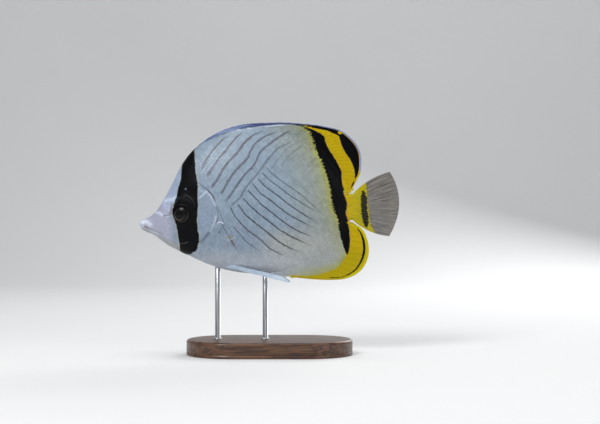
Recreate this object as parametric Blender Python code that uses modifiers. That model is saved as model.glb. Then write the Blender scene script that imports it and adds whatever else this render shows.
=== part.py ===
"""A vagabond butterflyfish, life size, held over a plain display stand by two rods.

The fish faces -X, +Z is up, and the origin is the middle of the stand's underside. Outlines of the fish are
written as (s, h) pairs: s is the distance behind the tip of the snout and h the height above the mouth.
Everything is in metres, and mm() turns a list of millimetres into metres.
"""

import math

import bmesh
import bpy
import numpy as np
from mathutils import Matrix, Vector


def mm(values):
    return np.array(values, float) * 0.001


# Driving sizes
TOTAL_LENGTH = 0.150        # tip of the snout to the rear edge of the tail fin
MOUTH_HEIGHT = 0.076        # of the mouth above the surface that the stand rests on
GAP = 0.0003                # between two pieces that touch

# Side view of the body without its fins: (s, h)
BACK_POINTS = mm([(0, 0.2), (0.6, 1.2), (2.9, 2.5), (5.8, 3.8), (8.7, 6.3), (11.5, 10.1), (15, 15.9),
                  (19.6, 24.8), (23.7, 33.0), (28.8, 40.2), (34.6, 45.6), (41.5, 49.3), (49.6, 52.6),
                  (58.8, 55.0), (68, 56.1), (76.2, 55.7), (84.2, 53.6), (92.3, 49.6), (99.8, 43.8),
                  (106.7, 36.6), (112.5, 28.8), (117, 21.4), (120.2, 17.2), (123.5, 16.2), (128, 16.4)])
BELLY_POINTS = mm([(0, -1.3), (0.6, -2.6), (3.5, -5.0), (7.5, -6.6), (11.5, -9.5), (16.2, -12.9),
                   (21.9, -15.9), (28.8, -19.1), (36.3, -22.5), (44.4, -25.6), (53.1, -27.8), (62.3, -29.0),
                   (71.5, -29.2), (80.8, -28.2), (90, -25.7), (98.1, -21.3), (105, -15.6), (111.3, -9.2),
                   (116.5, -3.4), (120.2, 0.8), (123.5, 2.0), (128, 1.8)])

# Cross sections along the body: half the width, and the height where the body is widest
HALF_WIDTH_POINTS = mm([(0, 0.9), (0.8, 1.6), (2.5, 2.2), (5, 2.7), (8, 3.4), (12, 4.9), (16, 6.4),
                        (20, 7.6), (24, 8.6), (30, 9.8), (36, 10.8), (44, 11.6), (53, 11.9), (62, 11.6),
                        (72, 10.8), (84, 9.2), (96, 7.1), (106, 5.2), (114, 3.9), (120, 3.1), (128, 2.2)])
WIDEST_POINTS = mm([(0, 0), (6, 0.2), (12, 1.8), (23, 4.6), (35, 7), (50, 9), (70, 10.4), (100, 10),
                    (118, 9.2), (128, 9.1)])
# Half the thickness left at the ridge of the back and of the belly, where the fins stand
BACK_RIM_POINTS = mm([(0, 0.3), (10, 0.45), (30, 0.7), (40, 1.0), (90, 1.15), (118, 1.0), (128, 0.8)])
BELLY_RIM_POINTS = mm([(0, 0.3), (10, 0.4), (40, 0.6), (70, 0.7), (84, 1.0), (100, 1.15), (118, 1.0),
                       (128, 0.8)])
# How a section closes towards its ridge, against s: under 1 it is round, over 1 it runs out flat into a fin
BACK_CLOSING_POINTS = [(0, 0.5), (0.012, 0.55), (0.030, 0.72), (0.045, 0.95), (0.090, 1.15),
                       (0.114, 1.0), (0.122, 0.6), (0.128, 0.55)]
BELLY_CLOSING_POINTS = [(0, 0.5), (0.020, 0.52), (0.050, 0.58), (0.074, 0.72), (0.090, 1.05),
                        (0.108, 1.15), (0.116, 0.9), (0.122, 0.6), (0.128, 0.55)]

# Lines that part the body, from belly to back: (share of the height, s)
SNOUT_END = [(0, 0), (1, 0)]
GILL_EDGE = [(0, 0.0288), (0.10, 0.0329), (0.172, 0.0375), (0.254, 0.0421), (0.327, 0.0450), (0.40, 0.0457),
             (0.474, 0.0444), (0.542, 0.0421), (0.605, 0.0389), (0.656, 0.0354), (0.72, 0.0335),
             (0.84, 0.0324), (1, 0.0329)]
STALK_START = [(0, 0.1186), (1, 0.1186)]
TAIL_ROOT = [(0, 0.1229), (0.2, 0.1258), (0.5, 0.1272), (0.8, 0.1258), (1, 0.1226)]
GILL_STEP = 0.0005          # the gill cover's rear edge stands this far proud
GILL_SWELL_LENGTH = 0.006
GILL_TOP_SHARE = 0.66       # of the height, where the gill slit ends

# Mouth, nostrils and eyes
MOUTH_FRONT = mm((-0.5, -0.55))
MOUTH_CORNER = mm((5.5, -3.0))
MOUTH_SLIT = 0.0004
MOUTH_ARCH = 0.0007         # how much higher the mouth line runs in the middle than at its corners
LIP_SWELL = 0.00030
NOSTRILS = mm([(15.0, 4.5), (17.3, 5.4)])
NOSTRIL_RADIUS = 0.0006
EYE = mm((24.3, 5.0))
EYE_RADIUS = 0.0049
EYE_DOME = 0.0019           # how far the front of the eye stands over its own rim
EYE_DEPTH = 0.0034
EYE_SINK = 0.0006           # of the eye's rim under the skin
ORBIT = mm((25.6, 7.2))
ORBIT_SWELL = 0.0010
ORBIT_RADIUS = 0.0082

# Fins: number of spines and rays, and half thicknesses
WEB_HALF = 0.00026
RAY_RIDGE = 0.00020
SPINE_RIDGE = 0.00038
SPINE_POINT = 0.0004        # of a spine past the edge of the web
EDGE_HALF = 0.00012
PAIRED_ROOT_HALF = 0.0007
DORSAL_SPINES = 13
DORSAL_RAYS = 23
ANAL_SPINES = 3
ANAL_RAYS = 19
TAIL_RAYS = 17
PECTORAL_RAYS = 12
PELVIC_RAYS = 5

DORSAL_START = 0.0352       # s of the first dorsal spine
DORSAL_SPLIT = 0.0900       # s of the last spine's root
DORSAL_END = 0.1183
SPINY_EDGE = mm([(39.5, 49.3), (44, 51.9), (51.9, 55.1), (57.7, 56.7), (63.5, 57.5), (75, 58.1),
                 (84, 58.2), (93, 57.6), (102.0, 56.8)])
SOFT_EDGE = mm([(102.8, 56.7), (109.6, 55.4), (115.4, 53.9), (121.4, 49.8), (125.6, 45.0), (127.8, 39.4),
                (128.1, 34.2), (127.5, 29.1), (125.4, 24.6), (123.4, 20.9), (121.6, 17.8)])
ANAL_START = 0.0772
ANAL_END = 0.1183
ANAL_EDGE = mm([(81.4, -30.1), (86.0, -30.9), (93.5, -31.9), (101, -32.6), (109.6, -32.9), (118.3, -32.3),
                (124, -30.3), (128.7, -26.5), (131.5, -21.3), (132.5, -15.9), (131.6, -9.8), (129.2, -4.3),
                (125.5, -1.0), (121.6, 0.3)])
TAIL_EDGE = mm([(144.6, 29.6), (147.0, 25.4), (149.1, 19.4), (150, 12.1), (149.4, 5.6), (147.4, -1.2),
                (144.3, -7.6)])
TAIL_BOW = 0.0020           # of the outermost rays, away from the middle of the tail

# Paired fins. A root or tip is (s, h, y), with y outwards from the middle of the fish
PECTORAL_ROOT = mm([(47.6, -0.2), (46.2, -5.8)])
PECTORAL_TIPS = mm([(56.6, -14.8, 21.0), (56.4, -18.2, 23.4), (54.2, -20.5, 25.0), (51.0, -21.3, 25.8),
                    (47.8, -20.0, 25.4), (45.6, -16.8, 23.6), (44.8, -12.6, 20.6)])
PELVIC_ROOT = mm([(50.8, -25.7), (54.4, -23.9)])
PELVIC_TIPS = mm([(76.0, -31.7, 6.6), (86.4, -34.3, 7.4), (85.5, -32.9, 7.4), (84.4, -31.9, 7.2),
                  (83.1, -31.1, 7.0), (81.6, -30.3, 7.0)])

# Stand
BASE_LENGTH = 0.096
BASE_WIDTH = 0.056
BASE_HEIGHT = 0.009
BASE_EDGE = 0.0015
ROD_RADIUS = 0.0015
ROD_PLACES = (0.0450, 0.0725)
ROD_SINK_BASE = 0.006
ROD_SINK_FISH = 0.006

COLOURS = {
    "skin": ((0.60, 0.67, 0.74, 1), 0.38, 0.0),
    "fin_yellow": ((0.78, 0.58, 0.02, 1), 0.45, 0.0),
    "fin_clear": ((0.62, 0.62, 0.60, 1), 0.35, 0.0),
    "eye": ((0.02, 0.02, 0.025, 1), 0.08, 0.0),
    "base_wood": ((0.16, 0.09, 0.05, 1), 0.45, 0.0),
    "rod_steel": ((0.62, 0.62, 0.63, 1), 0.3, 1.0),
}


def curve_through(points):
    """A smooth curve through (x, value) pairs in rising x, as a function of x."""
    xs, values = np.array(points, float).T
    slopes = np.gradient(values, xs)

    def at(x):
        x = np.clip(x, xs[0], xs[-1])
        i = np.clip(np.searchsorted(xs, x) - 1, 0, len(xs) - 2)
        width = xs[i + 1] - xs[i]
        t = (x - xs[i]) / width
        rise = values[i + 1] - values[i]
        bend_in, bend_out = slopes[i] * width - rise, rise - slopes[i + 1] * width
        return values[i] + t * rise + t * (1 - t) * ((1 - t) * bend_in + t * bend_out)

    return at


def path_through(points, by_length=True):
    """A smooth path through points, as a function of the share of its length, or else of their number."""
    points = np.array(points, float)
    steps = np.linalg.norm(np.diff(points, axis=0), axis=1) if by_length else np.ones(len(points) - 1)
    share = np.concatenate([[0], np.cumsum(steps)]) / steps.sum()
    axes = [curve_through(np.column_stack([share, column])) for column in points.T]
    return lambda t: np.stack([axis(np.asarray(t, float)) for axis in axes], axis=-1)


back = curve_through(BACK_POINTS)
belly = curve_through(BELLY_POINTS)
half_width = curve_through(HALF_WIDTH_POINTS)
widest = curve_through(WIDEST_POINTS)
back_rim = curve_through(BACK_RIM_POINTS)
belly_rim = curve_through(BELLY_RIM_POINTS)
back_closing = curve_through(BACK_CLOSING_POINTS)
belly_closing = curve_through(BELLY_CLOSING_POINTS)
gill_edge = curve_through(GILL_EDGE)


def lips(s, h):
    """The swelling of both lips along the mouth line."""
    share = np.clip((s - MOUTH_FRONT[0]) / (MOUTH_CORNER[0] - MOUTH_FRONT[0]), 0, 1)
    line = MOUTH_FRONT[1] + share * (MOUTH_CORNER[1] - MOUTH_FRONT[1])
    past_corner = np.maximum(s - MOUTH_CORNER[0], 0)
    return LIP_SWELL * np.exp(-(((np.abs(h - line) - 0.0009) / 0.0008) ** 2) - (past_corner / 0.0012) ** 2)


def orbit(s, h):
    """The low round swelling that the eye sits in, which reaches further above the eye than below it."""
    away = np.hypot(s - ORBIT[0], h - ORBIT[1])
    return ORBIT_SWELL * np.exp(-((away / ORBIT_RADIUS) ** 6))


def body_half(s, h):
    """Half the thickness of the body at a place of its side view."""
    top, bottom, middle = back(s), belly(s), widest(s)
    above = h >= middle
    span = np.where(above, top - middle, middle - bottom)
    t = np.clip(np.abs(h - middle) / span, 0, 1)
    rim = np.where(above, back_rim(s), belly_rim(s))
    closing = np.where(above, back_closing(s), belly_closing(s))
    section = rim + (half_width(s) - rim) * (1 - t**2) ** closing
    return section + orbit(s, h) + lips(s, h)


def to_world(s, h, y):
    """Points of the fish in the frame of the part, as an array."""
    s, h, y = np.broadcast_arrays(s, h, y)
    return np.stack([s - TOTAL_LENGTH / 2, y, h + MOUTH_HEIGHT], axis=-1)


# Makers of meshes
def material(slot):
    made = bpy.data.materials.get(slot)
    if made is None:
        colour, roughness, metallic = COLOURS[slot]
        made = bpy.data.materials.new(slot)
        made.use_nodes = True
        shader = made.node_tree.nodes["Principled BSDF"]
        shader.inputs["Base Color"].default_value = colour
        shader.inputs["Roughness"].default_value = roughness
        shader.inputs["Metallic"].default_value = metallic
        made.diffuse_color = colour
    return made


def new_object(name, mesh, slot, collection):
    made = bpy.data.objects.new(name, mesh)
    collection.objects.link(made)
    mesh.materials.clear()
    mesh.materials.append(material(slot))
    return made


def closed_sheet(name, near, far):
    """A closed mesh between two grids of points of one shape, each (columns, rows, 3), split alike on both."""
    columns, rows = near.shape[:2]
    count = columns * rows
    points = np.concatenate([near.reshape(-1, 3), far.reshape(-1, 3)])
    near_index = np.arange(count).reshape(columns, rows)
    far_index = near_index + count
    faces = []
    for i in range(columns - 1):
        for j in range(rows - 1):
            for grid, flip in ((near_index, False), (far_index, True)):
                a, b, c, d = grid[i, j], grid[i + 1, j], grid[i + 1, j + 1], grid[i, j + 1]
                split = [(a, b, c), (a, c, d)]
                faces += [t[::-1] for t in split] if flip else split
    rim = [(i, 0) for i in range(columns)] + [(columns - 1, j) for j in range(1, rows)]
    rim += [(i, rows - 1) for i in range(columns - 2, -1, -1)] + [(0, j) for j in range(rows - 2, 0, -1)]
    for here, after in zip(rim, rim[1:] + rim[:1]):
        faces.append((near_index[after], near_index[here], far_index[here], far_index[after]))
    mesh = bpy.data.meshes.new(name)
    mesh.from_pydata(points.tolist(), [], [tuple(int(v) for v in face) for face in faces])
    shaped = bmesh.new()
    shaped.from_mesh(mesh)
    bmesh.ops.recalc_face_normals(shaped, faces=shaped.faces)
    shaped.to_mesh(mesh)
    shaped.free()
    return mesh


def cut(target, cutter):
    """Takes cutter out of target, which stays a Boolean modifier."""
    modifier = target.modifiers.new("cut_" + cutter.name, "BOOLEAN")
    modifier.operation = "DIFFERENCE"
    modifier.object = cutter


def turned(name, profile, steps, slot, collection):
    """A solid of revolution about its own Z axis, from (radius, height) points that run from top to bottom."""
    mesh = bpy.data.meshes.new(name)
    points = [(radius, 0, height) for radius, height in profile]
    mesh.from_pydata(points, [(i, i + 1) for i in range(len(points) - 1)], [])
    made = new_object(name, mesh, slot, collection)
    screw = made.modifiers.new("turn", "SCREW")
    screw.steps = screw.render_steps = steps
    screw.use_merge_vertices = True
    screw.merge_threshold = 0.00001
    screw.use_normal_calculate = True
    return made


# Body
def gill_window(share):
    """1 where the gill slit is open and 0 above it, against the share of the height."""
    return 1 / (1 + np.exp((share - GILL_TOP_SHARE) / 0.03))


def body_piece(name, front, rear, columns, rows, swell, ease=1.0):
    """A length of the body between two parting lines, each a list of (share of height, s)."""
    front_line, rear_line = curve_through(front), curve_through(rear)
    along = np.linspace(0, 1, columns)[:, None] ** ease
    share = (1 - np.cos(np.pi * np.linspace(0, 1, rows)[None, :])) / 2
    s = front_line(share) * (1 - along) + rear_line(share) * along
    low, high = belly(s[:, :1]), back(s[:, -1:])
    h = low + (high - low) * share
    half = body_half(s, h) + swell(s, share)
    return closed_sheet(name, to_world(s, h, -half), to_world(s, h, half))


def head_swell(s, share):
    """The gill cover rises towards its rear edge."""
    return GILL_STEP * gill_window(share) * np.exp(-(((gill_edge(share) - s) / GILL_SWELL_LENGTH) ** 2))


def no_swell(s, share):
    return 0 * s


def shifted(line, distance):
    return [(share, s + distance) for share, s in line]


# Fins
def ray_sheet(name, rays, half, ridges, points, normal, rib=0.3):
    """A fin as one closed mesh. rays is an array (ray, row, 3) of its rays, half the web's half thickness at
    each (ray, row), ridges what each ray adds there, points how far each ray's tip stands past the web."""
    columns, halves = [], []
    for i in range(len(rays)):
        for shift in (-rib, 0, rib):
            other = i + (shift > 0) - (shift < 0)
            if not 0 <= other < len(rays):
                continue
            line = rays[i] + (rays[other] - rays[i]) * abs(shift)
            thick = half[i] + (half[other] - half[i]) * abs(shift)
            if shift == 0:
                line = line.copy()
                direction = line[-1] - line[-2]
                line[-1] += direction / np.linalg.norm(direction) * points[i]
                thick = thick + ridges[i]
            columns.append(line)
            halves.append(thick)
    grid, thick = np.array(columns), np.array(halves)[..., None]
    return closed_sheet(name, grid + thick * normal, grid - thick * normal)


def tapering(root, along):
    """Half the web's thickness from the root's own half thickness down to the fin's edge."""
    thinning = np.clip(along / 0.4, 0, 1)
    body = root[:, None] + (WEB_HALF - root[:, None]) * (3 * thinning**2 - 2 * thinning**3)
    return body + (EDGE_HALF - WEB_HALF) * np.clip((along - 0.75) / 0.25, 0, 1) ** 2


def straight_rays(roots, tips, along):
    """Rays as an array (ray, row, 3) of points, at the shares along of the way from roots to tips."""
    return roots[:, None] + (tips - roots)[:, None] * along[None, :, None]


def bowed(rays, along, bow):
    """Rays bent in the side view, each by its own bow at the middle."""
    way = rays[:, -1] - rays[:, 0]
    side = np.stack([-way[:, 2], 0 * way[:, 1], way[:, 0]], axis=-1)
    side /= np.linalg.norm(side, axis=1)[:, None]
    return rays + side[:, None] * (bow[:, None] * 4 * along * (1 - along))[..., None]


def margin(profile, s, outwards):
    """Points just off the ridge of the back or the belly, at distances s, in the side view."""
    step = 0.0005
    slope = (profile(s + step) - profile(s - step)) / (2 * step)
    length = np.hypot(1, slope)
    return s - outwards * GAP * slope / length, profile(s) + outwards * GAP / length


def median_fin(name, profile, rim, outwards, root_s, edge, ridge, points, rows):
    """A fin on the ridge of the back or belly, with one ray at each of root_s and its tips spread along edge."""
    root_s = np.asarray(root_s)
    tip = path_through(edge)(np.linspace(0, 1, len(root_s)))
    roots = to_world(*margin(profile, root_s, outwards), 0)
    tips = to_world(tip[:, 0], tip[:, 1], 0)
    along = np.linspace(0, 1, rows)
    rays = straight_rays(roots, tips, along)
    half = tapering(rim(root_s) - 0.0001, along)
    fade = 1 - 0.85 * along
    ridges = np.asarray(ridge)[:, None] * fade * np.clip(along / 0.15, 0.05, 1)
    return ray_sheet(name, rays, half, ridges, points, np.array((0, 1, 0)))


def paired_fin(name, root_line, tip_line, count, ridge, side, rows=6):
    """A pectoral or pelvic fin, its root set along the skin and its tips spread along tip_line."""
    share = np.linspace(0, 1, count)
    root = path_through(root_line)(share)
    surface = body_half(root[:, 0], root[:, 1]) + GAP
    roots = to_world(root[:, 0], root[:, 1], surface)
    tip = path_through(tip_line, by_length=False)(share)
    tips = to_world(tip[:, 0], tip[:, 1], tip[:, 2])
    along = np.linspace(0, 1, rows)
    rays = straight_rays(roots, tips, along)
    across = Vector(tips[-1] - tips[0]).cross(Vector(tips[count // 2] - roots[count // 2]))
    normal = np.array(across.normalized())
    half = tapering(np.full(count, PAIRED_ROOT_HALF), along)
    ridges = np.asarray(ridge)[:, None] * (1 - 0.8 * along) * np.clip(along / 0.2, 0.05, 1)
    made = ray_sheet(name, rays, half, ridges, np.zeros(count), normal)
    set_root_on_skin(made, count, rows)
    if side < 0:
        made.transform(Matrix.Scale(-1, 4, (0, 1, 0)))
        made.flip_normals()
    return made


def set_root_on_skin(mesh, count, rows):
    """Moves the root's points sideways until they lie GAP off the body, so that root and body meet face to face."""
    columns = 3 * count - 2
    for face in range(2):
        for i in range(columns):
            point = mesh.vertices[(face * columns + i) * rows].co
            s, h = point.x + TOTAL_LENGTH / 2, point.z - MOUTH_HEIGHT
            point.y = float(body_half(s, h)) + GAP


# The fish
def make_body(collection, cutters):
    head = body_piece("head", SNOUT_END, GILL_EDGE, 30, 27, head_swell, ease=1.6)
    torso = body_piece("torso", shifted(GILL_EDGE, GAP), shifted(STALK_START, -GAP), 24, 27, no_swell)
    stalk = body_piece("tail_stalk", STALK_START, TAIL_ROOT, 6, 13, no_swell)
    made = {name: new_object(name, mesh, "skin", collection)
            for name, mesh in (("head", head), ("torso", torso), ("tail_stalk", stalk))}
    cut(made["head"], mouth_cutter(cutters))
    for side in (-1, 1):
        for number, (s, h) in enumerate(NOSTRILS):
            cut(made["head"], nostril_cutter(number, s, h, side, cutters))
        cut(made["head"], eyeball("socket" + side_name(side), side, GAP, cutters))
        eyeball("eye" + side_name(side), side, 0, collection)
    return made


def side_name(side):
    return "_left" if side < 0 else "_right"


def mouth_cutter(cutters):
    """A thin arched plate that parts the lips, back to the corners of the mouth."""
    reach = 2 * float(half_width(MOUTH_CORNER[0]))
    along, y = np.meshgrid(np.linspace(-0.4, 1, 5), np.linspace(-reach, reach, 13), indexing="ij")
    s = MOUTH_FRONT[0] + along * (MOUTH_CORNER[0] - MOUTH_FRONT[0])
    line = MOUTH_FRONT[1] + along * (MOUTH_CORNER[1] - MOUTH_FRONT[1])
    h = line + MOUTH_ARCH * np.maximum(1 - (2 * y / reach) ** 2, 0)
    mesh = closed_sheet("mouth_slit", to_world(s, h - MOUTH_SLIT / 2, y), to_world(s, h + MOUTH_SLIT / 2, y))
    return new_object("mouth_slit", mesh, "skin", cutters)


def nostril_cutter(number, s, h, side, cutters):
    bpy.ops.mesh.primitive_uv_sphere_add(segments=10, ring_count=6, radius=NOSTRIL_RADIUS)
    made = bpy.context.object
    made.name = f"nostril_{number}{side_name(side)}"
    made.location = to_world(s, h, side * float(body_half(s, h)))
    return into(made, cutters)


def into(made, collection):
    for old in list(made.users_collection):
        old.objects.unlink(made)
    collection.objects.link(made)
    return made


def outward_of_eye(side):
    """The direction square to the skin at the eye."""
    step = 0.0025
    s, h = EYE
    along_s = (body_half(s + step, h) - body_half(s - step, h)) / (2 * step)
    along_h = (body_half(s, h + step) - body_half(s, h - step)) / (2 * step)
    return Vector((-along_s, side, -along_h)).normalized()


def eyeball(name, side, clearance, collection):
    """A domed lens with a round back, turned about the direction that the eye looks in."""
    radius, dome, depth = EYE_RADIUS + clearance, EYE_DOME + clearance, EYE_DEPTH + clearance
    front = [(radius * math.sin(a), dome * math.cos(a)) for a in np.linspace(0, math.pi / 2, 6)]
    rear = [(radius * math.cos(a), -depth * math.sin(a)) for a in np.linspace(0, math.pi / 2, 5)[1:]]
    made = turned(name, front + rear, 22, "eye", collection)
    outward = outward_of_eye(side)
    made.rotation_euler = outward.to_track_quat("Z", "Y").to_euler()
    made.location = Vector(to_world(*EYE, side * float(body_half(*EYE)))) - outward * (EYE_SINK + ORBIT_SWELL)
    return made


def make_median_fins(collection):
    spiny_roots = np.linspace(DORSAL_START, DORSAL_SPLIT, DORSAL_SPINES)
    spines = np.full(DORSAL_SPINES, SPINE_RIDGE)
    spiny = median_fin("dorsal_fin_spiny", back, back_rim, 1, spiny_roots, SPINY_EDGE, spines,
                       np.full(DORSAL_SPINES, SPINE_POINT), rows=5)
    soft_roots = np.linspace(DORSAL_SPLIT + 0.0006, DORSAL_END, DORSAL_RAYS)
    soft = median_fin("dorsal_fin_soft", back, back_rim, 1, soft_roots, SOFT_EDGE,
                      np.full(DORSAL_RAYS, RAY_RIDGE), np.zeros(DORSAL_RAYS), rows=6)
    anal_roots = np.linspace(ANAL_START, ANAL_END, ANAL_SPINES + ANAL_RAYS)
    anal_ridges = [SPINE_RIDGE] * ANAL_SPINES + [RAY_RIDGE] * ANAL_RAYS
    anal_points = [SPINE_POINT] * ANAL_SPINES + [0] * ANAL_RAYS
    anal = median_fin("anal_fin", belly, belly_rim, -1, anal_roots, ANAL_EDGE, anal_ridges, anal_points, rows=6)
    for name, mesh in (("dorsal_fin_spiny", spiny), ("dorsal_fin_soft", soft), ("anal_fin", anal)):
        new_object(name, mesh, "fin_yellow", collection)


def make_tail_fin(collection):
    """The tail fin fans out from the rounded rear edge of the tail stalk."""
    share = np.linspace(0, 1, TAIL_RAYS)
    line = curve_through(TAIL_ROOT)
    high_share = 1 - share
    s = line(high_share)
    low, high = belly(line(0)), back(line(1))
    h = low + (high - low) * high_share
    half = np.maximum(body_half(s, h) - 0.0001, 0.0005)
    roots = to_world(s + GAP, h, 0)
    tip = path_through(TAIL_EDGE)(share)
    along = np.linspace(0, 1, 7)
    rays = straight_rays(roots, to_world(tip[:, 0], tip[:, 1], 0), along)
    rays = bowed(rays, along, TAIL_BOW * (1 - 2 * share) ** 3)
    ridges = RAY_RIDGE * np.clip(along / 0.15, 0.05, 1) * (1 - 0.8 * along)
    mesh = ray_sheet("caudal_fin", rays, tapering(half, along), np.tile(ridges, (TAIL_RAYS, 1)),
                     np.zeros(TAIL_RAYS), np.array((0, 1, 0)))
    new_object("caudal_fin", mesh, "fin_clear", collection)


def make_paired_fins(collection):
    for side in (-1, 1):
        name = "pectoral_fin" + side_name(side)
        mesh = paired_fin(name, PECTORAL_ROOT, PECTORAL_TIPS, PECTORAL_RAYS,
                          np.full(PECTORAL_RAYS, RAY_RIDGE), side)
        new_object(name, mesh, "fin_clear", collection)
        name = "pelvic_fin" + side_name(side)
        mesh = paired_fin(name, PELVIC_ROOT, PELVIC_TIPS, PELVIC_RAYS + 1,
                          [SPINE_RIDGE] + [RAY_RIDGE] * PELVIC_RAYS, side)
        new_object(name, mesh, "fin_clear", collection)


# The stand
def make_stand(collection, cutters, torso):
    """A flat oval base and two rods. Each rod sits in a socket of the base and one of the belly."""
    outline = bmesh.new()
    bmesh.ops.create_cone(outline, cap_ends=True, segments=40, radius1=BASE_WIDTH / 2, radius2=BASE_WIDTH / 2,
                          depth=BASE_HEIGHT)
    spread = (BASE_LENGTH - BASE_WIDTH) / 2
    for vertex in outline.verts:
        vertex.co.x += spread * (1 if vertex.co.x > 0 else -1)
    mesh = bpy.data.meshes.new("stand_base")
    outline.to_mesh(mesh)
    outline.free()
    base = new_object("stand_base", mesh, "base_wood", collection)
    base.location.z = BASE_HEIGHT / 2
    bevel = base.modifiers.new("edge", "BEVEL")
    bevel.width = BASE_EDGE
    bevel.segments = 2
    bevel.limit_method = "ANGLE"
    for number, s in enumerate(ROD_PLACES):
        bottom = BASE_HEIGHT - ROD_SINK_BASE
        top = MOUTH_HEIGHT + float(belly(s)) + ROD_SINK_FISH
        name = ("stand_rod_front", "stand_rod_rear")[number]
        rod(name, s, ROD_RADIUS, bottom, top, collection)
        cutter = rod("hole_" + name, s, ROD_RADIUS + GAP, bottom - GAP, top + GAP, cutters)
        cut(base, cutter)
        cut(torso, cutter)


def rod(name, s, radius, bottom, top, collection):
    bpy.ops.mesh.primitive_cylinder_add(vertices=20, radius=radius, depth=top - bottom)
    made = bpy.context.object
    made.name = name
    made.location = (s - TOTAL_LENGTH / 2, 0, (top + bottom) / 2)
    made.data.materials.append(material("rod_steel"))
    return into(made, collection)


def main():
    for old in list(bpy.data.objects):
        bpy.data.objects.remove(old)
    fish = bpy.data.collections.new("vagabond_butterflyfish")
    cutters = bpy.data.collections.new("cutters")
    for collection in (fish, cutters):
        bpy.context.scene.collection.children.link(collection)
    pieces = make_body(fish, cutters)
    make_median_fins(fish)
    make_tail_fin(fish)
    make_paired_fins(fish)
    make_stand(fish, cutters, pieces["torso"])
    for cutter in cutters.objects:
        cutter.hide_render = True
        cutter.display_type = "WIRE"
    for made in fish.objects:
        made.data.shade_smooth()


main()
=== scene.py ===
# %% [markdown]
# # A vagabond butterflyfish, life size, on a plain stand
# The fish is a tall, thin disc with a pointed snout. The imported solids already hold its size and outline, so
# every piece made here starts from the same curves and only adds what solids this coarse can't carry: the
# skin's folds, overlapping scales, branched fin rays, the markings and the finishes.
# Lengths inside this file are in millimetres until a mesh is made, because the fish was measured that way:
# s is the distance behind the tip of the snout, h the height above the mouth, y the distance to the side.

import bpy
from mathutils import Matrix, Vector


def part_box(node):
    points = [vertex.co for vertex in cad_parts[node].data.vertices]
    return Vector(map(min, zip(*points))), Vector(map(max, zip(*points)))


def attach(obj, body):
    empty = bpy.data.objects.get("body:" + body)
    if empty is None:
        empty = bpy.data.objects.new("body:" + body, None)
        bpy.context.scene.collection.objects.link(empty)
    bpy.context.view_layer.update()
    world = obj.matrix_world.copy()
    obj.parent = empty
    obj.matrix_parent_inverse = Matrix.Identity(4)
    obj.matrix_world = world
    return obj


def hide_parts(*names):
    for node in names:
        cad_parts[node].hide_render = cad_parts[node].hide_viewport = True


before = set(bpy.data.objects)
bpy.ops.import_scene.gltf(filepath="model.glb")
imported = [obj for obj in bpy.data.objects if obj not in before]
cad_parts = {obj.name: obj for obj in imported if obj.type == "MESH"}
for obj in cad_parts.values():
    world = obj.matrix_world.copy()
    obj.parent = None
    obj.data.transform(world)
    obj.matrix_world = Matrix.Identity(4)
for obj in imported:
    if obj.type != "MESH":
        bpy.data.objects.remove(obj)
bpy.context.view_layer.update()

import math

import bpy
import numpy as np
from mathutils import Vector

random = np.random.default_rng(7)

# %% [markdown]
# ## Camera and studio
# A fish is portrayed square from the side, so the camera looks level along +Y from the fish's left. A long
# lens keeps the thin fins from spreading. The floor is one sheet that bends up behind the stand, as a paper
# roll does in a studio, so no horizon crosses the picture. The lamps are large, since a small lamp would
# leave one hard glint on every scale.

# %% Camera
lens = bpy.data.cameras.new("camera")
lens.lens = 85
lens.sensor_width = 36
camera = bpy.data.objects.new("camera", lens)
bpy.context.scene.collection.objects.link(camera)
camera.location = (0.0176, -0.82, 0.0824)
camera.rotation_euler = (math.pi / 2, 0, 0)
bpy.context.scene.camera = camera
bpy.context.scene.view_settings.view_transform = "Standard"
print("camera", round(camera.location.y * -1000), "mm from the fish")


# %% Nodes by short calls
def add(tree, kind, inputs=None, **settings):
    """A new shader node; inputs gives each socket a value or a link."""
    made = tree.nodes.new("ShaderNode" + kind)
    for key, value in settings.items():
        setattr(made, key, value)
    for key, value in (inputs or {}).items():
        if isinstance(value, bpy.types.NodeSocket):
            tree.links.new(value, made.inputs[key])
        else:
            made.inputs[key].default_value = value
    return made


def calc(tree, operation, a, b=0.0, clamp=False):
    return add(tree, "Math", {0: a, 1: b}, operation=operation, use_clamp=clamp).outputs[0]


def plus(tree, a, b, clamp=False):
    return calc(tree, "ADD", a, b, clamp)


def minus(tree, a, b):
    return calc(tree, "SUBTRACT", a, b)


def times(tree, a, b, clamp=False):
    return calc(tree, "MULTIPLY", a, b, clamp)


def ramp(tree, value, low, high, start=0.0, end=1.0):
    """A soft step of value from low to high."""
    made = add(tree, "MapRange", {"Value": value, "From Min": low, "From Max": high, "To Min": start,
                                  "To Max": end}, interpolation_type="SMOOTHSTEP")
    return made.outputs["Result"]


def mix(tree, share, a, b, blend="MIX"):
    """Colour a turning into colour b."""
    return add(tree, "Mix", {0: share, 6: a, 7: b}, data_type="RGBA", blend_type=blend).outputs[2]


def noise(tree, place, scale, detail=3.0, rough=0.55):
    return add(tree, "TexNoise", {"Vector": place, "Scale": scale, "Detail": detail,
                                  "Roughness": rough}).outputs["Fac"]


def object_place(tree):
    return add(tree, "TexCoord").outputs["Object"]


# %% Materials by short calls
def new_material(name, **constants):
    """A material with one Principled shader, and numbers that are the same all over set on its sockets."""
    made = bpy.data.materials.new(name)
    made.use_nodes = True
    shader = made.node_tree.nodes["Principled BSDF"]
    for key, value in constants.items():
        shader.inputs[key.replace("_", " ")].default_value = value
    return made, made.node_tree, shader


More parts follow.
